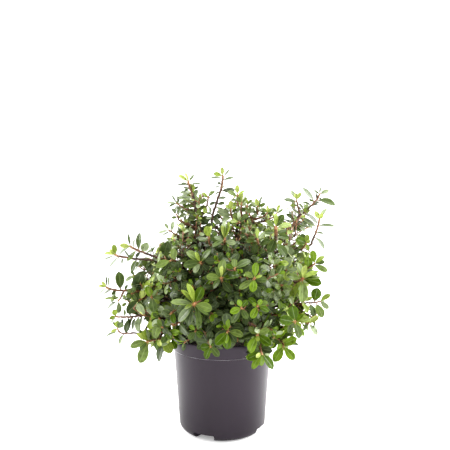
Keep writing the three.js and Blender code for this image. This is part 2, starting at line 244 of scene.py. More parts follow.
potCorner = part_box("pot")[1]
potSet = {
    "height": potCorner.z,
    "rimRadius": potCorner.x + 0.0013,    # a little over the source's
    "sides": 128,
    "smoothDegrees": 32,
    "footRadius": 0.067,
    "wallFootRadius": 0.0768,
    "cornerHeight": 0.011,
    "cornerSteps": 6,
    "bandHeight": 0.0232,
    "bandStep": 0.0012,
    "bandEdge": 0.0003,
    "bandSteps": 4,
    "beadHeight": 0.0011,
    "beadStep": 0.0005,
    "beadFlat": 0.0006,
    "lip": 0.0022,
    "lipRise": 0.0015,
    "lipSteps": 6,
    "wall": 0.002,
    "wallThinner": 0.0006,
    "innerFloor": 0.0125,
    "wallHeights": (0.04, 0.075, 0.11),
    "channelHeadings": (-25, 65, 155, 245),
    "channelInner": 0.044,
    "channelOuter": 0.097,
    "channelHalfDegrees": 16,
    "channelTaper": 0.8,
    "channelRound": 0.0016,
    "channelRoof": 0.0108,
    "slotSize": (0.016, 0.006, 0.012),
}


def wallRadius(height, s=potSet):
    top = s["rimRadius"] - s["bandStep"]
    return s["wallFootRadius"] + (top - s["wallFootRadius"]) * height / s["height"]


def potProfile(s):
    profile = []
    cornerWidth = wallRadius(s["cornerHeight"]) - s["footRadius"]
    for step in range(s["cornerSteps"] + 1):
        angle = math.pi / 2 * step / s["cornerSteps"]
        radius = s["footRadius"] + cornerWidth * math.sin(angle)
        profile.append((radius, s["cornerHeight"] * (1 - math.cos(angle))))
    for height in s["wallHeights"]:
        profile.append((wallRadius(height), height))
    band = s["height"] - s["bandHeight"]
    outer = wallRadius(band) + s["bandStep"]
    rim, top, bead = s["rimRadius"], s["height"], s["beadHeight"]
    profile += [
        (wallRadius(band), band),
        (outer, band + s["bandEdge"]),
        (outer + s["beadStep"], band + bead * 0.5),
        (outer, band + bead),
        (outer, band + bead + s["beadFlat"]),
    ]
    lean = top - band - bead - s["lipRise"]
    for step in range(1, s["bandSteps"]):    # the band leans out to the rim
        share = step / s["bandSteps"]
        profile.append((outer + (rim - outer) * share, band + bead + lean * share))
    half = s["lip"] / 2
    for step in range(s["lipSteps"] + 1):    # the rolled lip
        angle = math.radians(180 / s["lipSteps"] * step)
        height = top - s["lipRise"] + s["lipRise"] * math.sin(angle)
        profile.append((rim - half + half * math.cos(angle), height))
    profile += [
        (wallRadius(band) - s["wall"] + s["wallThinner"], band),
        (wallRadius(band / 2) - s["wall"], band / 2),
        (wallRadius(s["innerFloor"]) - s["wall"], s["innerFloor"]),
    ]
    return profile


def cutBox(size, place, heading, innerShare=1.0, bevel=0.0):
    # a box that is narrower on its inner side, turned to a heading about the pot's axis
    bpy.ops.mesh.primitive_cube_add(size=1, location=place)
    cutter = bpy.context.object
    cutter.scale = size
    bpy.ops.object.transform_apply(location=True, rotation=False, scale=True)
    for corner in cutter.data.vertices:
        if corner.co.x < place[0]:
            corner.co.y *= innerShare
    if bevel:
        applyModifier(cutter, "BEVEL", width=bevel, segments=3, limit_method="ANGLE")
    cutter.rotation_euler.z = math.radians(heading)
    bpy.ops.object.transform_apply(location=False, rotation=True, scale=False)
    return cutter


def makePot(s):
    pot = raiseProfile("potShell", s["sides"], potProfile(s))
    inner, outer = s["channelInner"], s["channelOuter"]
    width = 2 * outer * math.sin(math.radians(s["channelHalfDegrees"]))
    size = (outer - inner, width, s["channelRoof"] * 2)
    innerShare = inner * s["channelTaper"] / outer
    cutters = []
    for heading in s["channelHeadings"]:
        cutters.append(cutBox(size, ((inner + outer) / 2, 0, 0), heading, innerShare, s["channelRound"]))
        cutters.append(cutBox(s["slotSize"], (inner + s["slotSize"][0], 0, s["channelRoof"]), heading))
    for cutter in cutters:
        applyModifier(pot, "BOOLEAN", object=cutter, operation="DIFFERENCE", solver="EXACT")
        bpy.data.objects.remove(cutter)
    selectOnly(pot)
    bpy.ops.object.shade_smooth_by_angle(angle=math.radians(s["smoothDegrees"]))
    return pot


def potPlastic():
    plastic = newMaterial("charcoalPlastic", (0.011, 0.008, 0.012), 0.36, Specular_IOR_Level=0.25,
                          Specular_Tint=(1, 0.89, 1, 1))
    cloud = objectNoise(plastic, 14, 4, (1, 1, 0.35))
    colourBy(plastic, cloud, (0.0062, 0.0036, 0.0066), (0.0108, 0.007, 0.012))
    grain = objectNoise(plastic, 900, 2)
    roughnessBy(plastic, grain, 0.3, 0.46)
    bumpBy(plastic, grain, 0.12, 0.0004)
    return plastic


# A lighter plastic for the bead: a painted highlight along the foot of the band
def beadHighlight():
    highlightPlastic = newMaterial("beadHighlightPlastic", (0.14, 0.13, 0.15), 0.4)
    highlightNoise = objectNoise(highlightPlastic, 60, 3)
    colourBy(highlightPlastic, highlightNoise, (0.13, 0.12, 0.14), (0.28, 0.265, 0.29))
    return highlightPlastic


pot = makePot(potSet)
pot.data.materials.append(potPlastic())
pot.data.materials.append(beadHighlight())
beadLow = potSet["height"] - potSet["bandHeight"]
beadHigh = beadLow + potSet["beadHeight"]
for face in pot.data.polygons:    # the bead at the foot of the band gets the pale plastic, a painted highlight
    if beadLow < face.center.z < beadHigh and face.center.xy.length > wallRadius(beadLow):
        face.material_index = 1
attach(pot, "root")
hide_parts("pot")
print("pot made:", len(pot.data.polygons), "faces")


# Soil, with crumbs on it

soilSet = {
    "top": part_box("soil")[1].z,
    "gap": 0.0003,
    "sideGap": 0.001,
    "edgeGap": 0.0006,
    "edgeDrop": 0.002,
    "bedDrop": 0.001,
    "dip": 0.003,
    "rings": 26,
    "sides": 96,
    "lumps": ((0.011, 0.003), (0.0035, 0.0022)),    # size and height
    "lumpMiddle": 0.6,
    "lumpDepth": 0.01,
    "crumbs": 900,
    "crumbSize": (0.0012, 0.0042),
    "crumbArea": (0.02, 0.94),
    "crumbStretch": (0.45, 1.0),
    "crumbLump": 0.25,
    "crumbRise": 0.3,
    "crumbShares": (0.66, 0.28, 0.06),
    "seed": 40,
}


def makeSoil(s):
    wall = potSet["wall"] + s["gap"]
    edge = wallRadius(s["top"]) - wall - s["edgeGap"]
    profile = [
        (wallRadius(potSet["innerFloor"]) - wall - s["sideGap"], potSet["innerFloor"] + s["gap"]),
        (wallRadius(s["top"] / 2) - wall - s["sideGap"], s["top"] / 2),
        (edge, s["top"] - s["edgeDrop"]),
    ]
    for ring in range(1, s["rings"]):
        share = ring / s["rings"]
        dip = s["dip"] * math.sin(math.pi * share)
        profile.append((edge * (1 - share), s["top"] - s["bedDrop"] - dip))
    soil = raiseProfile("soilFill", s["sides"], profile)
    lowest, widest = s["top"] - s["lumpDepth"], edge - s["sideGap"]
    bed = [v.index for v in soil.data.vertices if v.co.z > lowest and v.co.xy.length < widest]
    soil.vertex_groups.new(name="bed").add(bed, 1, "REPLACE")
    for size, strength in s["lumps"]:
        displaceBy(soil, "soilLumps", size, strength, mid_level=s["lumpMiddle"], vertex_group="bed")
    return soil, edge


def unitCrumb():
    bpy.ops.mesh.primitive_ico_sphere_add(subdivisions=1, radius=1)
    ball = bpy.context.object
    corners = np.array([v.co for v in ball.data.vertices])
    faces = np.array([p.vertices[:] for p in ball.data.polygons])
    bpy.data.objects.remove(ball)
    return corners, faces


def turned(x, y, angles):
    cosine, sine = np.cos(angles)[:, None], np.sin(angles)[:, None]
    return x * cosine - y * sine, x * sine + y * cosine


def makeCrumbs(s, edge, materials):
    draw = np.random.default_rng(s["seed"])
    corners, faces = unitCrumb()
    count = s["crumbs"]
    radius = edge * np.sqrt(draw.uniform(*s["crumbArea"], count))
    turn = draw.uniform(0, 2 * math.pi, count)
    size = draw.uniform(*s["crumbSize"], count) / 2
    stretch = draw.uniform(*s["crumbStretch"], (count, 1, 3))
    lumps = 1 + draw.uniform(-s["crumbLump"], s["crumbLump"], (count, len(corners), 1))
    tilt = draw.uniform(0, 2 * math.pi, (count, 2))
    shapes = corners[None] * stretch * lumps * size[:, None, None]
    x, y, z = shapes[..., 0], shapes[..., 1], shapes[..., 2]
    x, z = turned(x, z, tilt[:, 0])
    x, y = turned(x, y, tilt[:, 1])
    bed = s["top"] - s["bedDrop"] - s["dip"] * np.sin(math.pi * (1 - radius / edge))
    x += (radius * np.cos(turn))[:, None]
    y += (radius * np.sin(turn))[:, None]
    z += (bed + size * s["crumbRise"])[:, None]
    placed = np.stack([x, y, z], -1).reshape(-1, 3)
    allFaces = (faces[None] + (np.arange(count) * len(corners))[:, None, None]).reshape(-1, 3)
    kinds = np.repeat(draw.choice(len(materials), count, p=s["crumbShares"]), len(faces))
    return meshFromArrays("soilCrumbs", [placed], [allFaces], [kinds], materials)


def soilMaterial(name, colour):
    material = newMaterial(name, colour, 0.95)
    noise = objectNoise(material, 320, 5)
    colourBy(material, noise, shaded(colour, 0.45), shaded(colour, 1.5))
    bumpBy(material, noise, 0.8, 0.001)
    return material


soil, soilEdge = makeSoil(soilSet)
soil.data.materials.append(soilMaterial("peat", (0.022, 0.014, 0.009)))
crumbs = makeCrumbs(soilSet, soilEdge, [
    soilMaterial("peatCrumb", (0.028, 0.018, 0.012)),
    soilMaterial("barkChip", (0.085, 0.045, 0.024)),
    soilMaterial("paleGrit", (0.22, 0.18, 0.14)),
])
for piece in (soil, crumbs):
    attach(piece, "root")
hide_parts("soil")
print("soil made with", soilSet["crumbs"], "crumbs")


# Stem and limbs, by the source's rule

trunkSet = {
    "foot": Vector((0, 0, soilSet["top"] + soilSet["gap"])),
    "top": Vector((0.004, -0.003, soilSet["top"] + 0.0523)),
    "radius": 0.0075,
    "topRadius": 0.006,
    "flareRadius": 0.012,
    "flareHeight": 0.014,
}

limbSet = {
    "mainRadius": 0.0038,
    "sideRadius": 0.003,
    "tipRadius": 0.0017,
    "rise": 16,
    "leastFork": 38,
    "startPull": 0.38,
    "tipPull": 0.3,
    "upTurn": 0.22,
    "shortOfOutline": 0.034,
    "leastBough": 0.46,
    "massMiddle": 0.86,
    "endSteps": 24,
    "guardSteps": 16,
    "spaceGap": 0.0004,
}

crownCentre = Vector((0, 0, 0.258))

# Heading in degrees, distance from the axis and height of the place where each limb's last leaf ends. "root"
# is a share of the stem's height, "at" a share of the bough that "start" names.
limbs = {
    "top_centre": {"heading": 80, "reach": 0.015, "height": 0.461, "leader": True},
    "top_left": {"heading": 158, "reach": 0.068, "height": 0.450, "root": 0.96},
    "top_right": {"heading": 3, "reach": 0.174, "height": 0.410, "root": 0.88},
    "right_high": {"heading": 340, "reach": 0.179, "height": 0.379, "start": "top_right", "at": 0.5},
    "crown_top": {"heading": 319, "reach": 0.064, "height": 0.404, "start": "top_centre", "at": 0.35},
    "right_mid": {"heading": 326, "reach": 0.181, "height": 0.298, "root": 0.46},
    "right_low": {"heading": 344, "reach": 0.190, "height": 0.220, "start": "right_mid", "at": 0.45},
    "front_skirt": {"heading": 296, "reach": 0.166, "height": 0.162, "root": 0.34},
    "right_skirt": {"heading": 326, "reach": 0.156, "height": 0.152, "start": "front_skirt", "at": 0.5},
    "front_skirt_left": {"heading": 259, "reach": 0.152, "height": 0.176,
                         "start": "front_skirt", "at": 0.35},
    "front_high_right": {"heading": 305, "reach": 0.150, "height": 0.356, "root": 0.8},
    "front_centre": {"heading": 283, "reach": 0.210, "height": 0.291, "root": 0.58},
    "front_high": {"heading": 271, "reach": 0.150, "height": 0.346, "start": "front_centre", "at": 0.4},
    "front_left": {"heading": 257, "reach": 0.199, "height": 0.257, "root": 0.42},
    "front_low": {"heading": 280, "reach": 0.182, "height": 0.220, "start": "front_centre", "at": 0.8},
    "front_high_left": {"heading": 236, "reach": 0.165, "height": 0.328, "start": "front_left", "at": 0.45},
    "left_shoulder": {"heading": 178, "reach": 0.096, "height": 0.372, "start": "top_left", "at": 0.45},
    "left_high": {"heading": 182, "reach": 0.197, "height": 0.300, "root": 0.7},
    "left_mid": {"heading": 190, "reach": 0.211, "height": 0.254, "root": 0.38},
    "left_low": {"heading": 199, "reach": 0.196, "height": 0.196, "start": "left_mid", "at": 0.6},
    "left_skirt": {"heading": 209, "reach": 0.170, "height": 0.152, "start": "left_mid", "at": 0.35},
    "back_high_right": {"heading": 45, "reach": 0.150, "height": 0.368, "root": 0.72},
    "back_high_left": {"heading": 115, "reach": 0.150, "height": 0.368, "root": 0.74},
    "back_right": {"heading": 28, "reach": 0.196, "height": 0.296, "root": 0.44},
    "back_centre": {"heading": 88, "reach": 0.196, "height": 0.296, "root": 0.5},
    "back_left": {"heading": 148, "reach": 0.196, "height": 0.296, "root": 0.52},
    "back_low_right": {"heading": 58, "reach": 0.182, "height": 0.211, "start": "back_right", "at": 0.4},
    "back_low_left": {"heading": 122, "reach": 0.182, "height": 0.211, "start": "back_left", "at": 0.4},
}


def outward(heading):
    return Vector((math.cos(math.radians(heading)), math.sin(math.radians(heading)), 0))


def about(axis, side, turn):
    # square to an axis, at a turn about it counted from a side
    across = (side - axis * side.dot(axis)).normalized()
    return across * math.cos(turn) + axis.cross(across) * math.sin(turn)


def leaning(axis, out, slope):
    return axis * math.cos(slope) + out * math.sin(slope)


def curvePoint(points, t):
    while len(points) > 1:
        points = [a.lerp(b, t) for a, b in zip(points, points[1:])]
    return points[0]


def onCurve(control, t):
    # the place and the direction at a share of a curve
    return curvePoint(control, t), curvePoint([b - a for a, b in zip(control, control[1:])], t).normalized()


def curveLength(control, pieces=200):
    points = [curvePoint(control, i / pieces) for i in range(pieces + 1)]
    return sum((b - a).length for a, b in zip(points, points[1:]))


def trunkRadius(share, s=trunkSet):
    height = share * (s["top"].z - s["foot"].z)
    flare = max(0, 1 - height / s["flareHeight"]) ** 2
    taper = s["radius"] + (s["topRadius"] - s["radius"]) * share
    return taper + (s["flareRadius"] - s["radius"]) * flare


trunkAxis = (trunkSet["top"] - trunkSet["foot"]).normalized()


def leavingDirection(start, tip, axis, s=limbSet):
    span = tip - start
    slope = math.atan2(span.z, span.xy.length) + math.radians(s["rise"])
    away = leaning(Vector((span.x, span.y, 0)).normalized(), up, slope)
    fork = math.radians(s["leastFork"])
    if away.angle(axis) > fork:
        return away
    return leaning(axis, about(axis, away, 0), fork)


def layLimb(name, s=limbSet):
    one = limbs[name]
    if "control" in one:
        return one
    if "start" in one:
        start, axis = onCurve(layLimb(one["start"])["control"], one["at"] * s["leastBough"])
        one["rootRadius"] = s["sideRadius"]
    else:
        start, axis = trunkSet["foot"].lerp(trunkSet["top"], one.get("root", 1)), trunkAxis
        one["rootRadius"] = s["mainRadius"]
    outline = outward(one["heading"]) * one["reach"] + up * one["height"]
    tip = outline + (crownCentre - outline).normalized() * s["shortOfOutline"]
    away = trunkAxis if "leader" in one else leavingDirection(start, tip, axis)
    finish = ((tip - crownCentre).normalized() + up * s["upTurn"]).normalized()
    length = (tip - start).length
    first, last = start + away * length * s["startPull"], tip - finish * length * s["tipPull"]
    one["control"] = [start, first, last, tip]
    one["length"] = curveLength(one["control"])
    one["side"] = outward(one["heading"] + 90)
    return one


def limbRadius(one, t):
    return one["rootRadius"] + (limbSet["tipRadius"] - one["rootRadius"]) * t


names = list(limbs)
laid = [layLimb(name) for name in names]

# Each mass keeps to the space nearer to its own middle than to any other's.
middles = np.array([curvePoint(one["control"], limbSet["massMiddle"]) for one in laid])
spaces = []
for index, middle in enumerate(middles):
    others = np.delete(middles, index, 0)
    toward = (others - middle) / np.linalg.norm(others - middle, axis=1)[:, None]
    spaces.append((toward, np.sum(toward * (others + middle) / 2, axis=1)))


def inOwnSpace(index, point, gap=limbSet["spaceGap"]):
    toward, offset = spaces[index]
    return bool(np.all(toward @ np.array(point) - offset < -gap))


def limbRing(one, t, sides=6):
    point, axis = onCurve(one["control"], t)
    radius = limbRadius(one, t)
    return [point + about(axis, one["side"], 2 * math.pi * i / sides) * radius for i in range(sides)]


def boughEnd(index, s=limbSet):
    # the share of the curve from which on the limb lies in its mass's own space
    one, end = laid[index], s["endSteps"]
    first = round(s["leastBough"] * end)
    while end > first and all(inOwnSpace(index, p) for p in limbRing(one, (end - 1) / s["endSteps"])):
        end -= 1
    return end / s["endSteps"]


# The boughs as short straight parts, from which leaves and twigs keep clear
guards = []
for index, one in enumerate(laid):
    one["end"] = boughEnd(index)
    shares = [one["end"] * i / limbSet["guardSteps"] for i in range(limbSet["guardSteps"] + 1)]
    line = [curvePoint(one["control"], t) for t in shares]
    guards += [(a, b - a, limbRadius(one, t)) for a, b, t in zip(line, line[1:], shares)]
guardStarts, guardSteps, guardRadii = (np.array(column) for column in zip(*guards))


def clearOfBoughs(point, margin):
    off = np.array(point) - guardStarts
    t = np.clip(np.sum(off * guardSteps, 1) / np.sum(guardSteps * guardSteps, 1), 0, 1)
    gap = np.linalg.norm(off - guardSteps * t[:, None], axis=1)
    return bool(np.all(gap >= guardRadii + margin))


def clearOfPot(point, margin):
    above = point[2] > potSet["height"] + margin
    return above or math.hypot(point[0], point[1]) > potSet["rimRadius"] + margin


print("limbs laid:", len(laid))


# Bark: stem and boughs as one mesh with relief

barkSet = {
    "pointGap": 0.0022,
    "bevelDepth": 0.001,
    "bevelResolution": 5,
    "trunkSwell": 0.05,
    "trunkSwells": 23,
    "buried": 0.003,
    "buriedShare": 1.1,
    "shoulder": ((0.002, 0.86), (0.0035, 0.6), (0.0042, 0.3)),    # distance past the top, share of radius
    "collar": 0.55,
    "collarStart": 0.004,
    "collarLength": 0.007,
    "nodeGap": 0.0085,
    "nodeSwell": 0.07,
    "nodeTurn": 0.37,
    "grain": ((0.0022, 0.0009), (0.0008, 0.00045)),    # size and height
    "weld": 1e-7,
}


def addSpline(curve, points, radii):
    spline = curve.splines.new("POLY")
    spline.points.add(len(points) - 1)
    for corner, place, radius in zip(spline.points, points, radii):
        corner.co = (*place, 1)
        corner.radius = radius / curve.bevel_depth


def addTrunk(curve, s):
    foot, top = trunkSet["foot"], trunkSet["top"]
    count = int((top - foot).length / s["pointGap"])
    shares = [i / count for i in range(count + 1)]
    swells = [1 + s["trunkSwell"] * math.sin(share * s["trunkSwells"]) for share in shares]
    radii = [trunkRadius(share) * swell for share, swell in zip(shares, swells)]
    points = [foot - up * s["buried"]] + [foot.lerp(top, share) for share in shares]
    radii = [radii[0] * s["buriedShare"]] + radii
    for further, share in s["shoulder"]:
        points.append(top + trunkAxis * further)
        radii.append(radii[count] * share)
    addSpline(curve, points, radii)


def makeBark(s):
    curve = bpy.data.curves.new("stemAndBoughs", "CURVE")
    curve.dimensions = "3D"
    curve.bevel_depth = s["bevelDepth"]
    curve.bevel_resolution = s["bevelResolution"]
    curve.use_fill_caps = True
    addTrunk(curve, s)
    for index, one in enumerate(laid):
        length = one["length"] * one["end"]
        count = int(length / s["pointGap"])
        shares = [one["end"] * i / count for i in range(count + 1)]
        radii = []
        for i, t in enumerate(shares):
            along = length * i / count
            collar = 1 + s["collar"] * math.exp(-max(0, along - s["collarStart"]) / s["collarLength"])
            phase = 2 * math.pi * (along / s["nodeGap"] + index * s["nodeTurn"])
            node = 1 + s["nodeSwell"] * math.cos(phase) ** 4
            radii.append(limbRadius(one, t) * collar * node)
        addSpline(curve, [curvePoint(one["control"], t) for t in shares], radii)
    bark = bpy.data.objects.new("stemAndBoughs", curve)
    scene.collection.objects.link(bark)
    selectOnly(bark)
    bpy.ops.object.convert(target="MESH")
    bark = bpy.context.object
    for size, strength in s["grain"]:
        displaceBy(bark, "barkGrain", size, strength)
    startEdit("VERT")
    finishEdit(s["weld"])
    bpy.ops.object.shade_smooth()
    return bark


def barkMaterial(name, dark, light, roughness=0.82):
    material = newMaterial(name, light, roughness)
    grain = objectNoise(material, 420, 6, (1, 1, 0.3))
    colourBy(material, grain, dark, light, 0.35, 0.65)
    bumpBy(material, grain, 0.6, 0.0006)
    return material


bark = makeBark(barkSet)
bark.data.materials.append(barkMaterial("oldBark", (0.045, 0.024, 0.014), (0.17, 0.095, 0.055)))
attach(bark, "root")
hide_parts("trunk", *["bough_" + name for name in names])
print("bark made:", len(bark.data.polygons), "faces")


# Shoots: the source's stems and twigs, and finer ones on them

goldenAngle = 137.508
seedSet = {"first": 5, "step": 9, "finer": 7000}
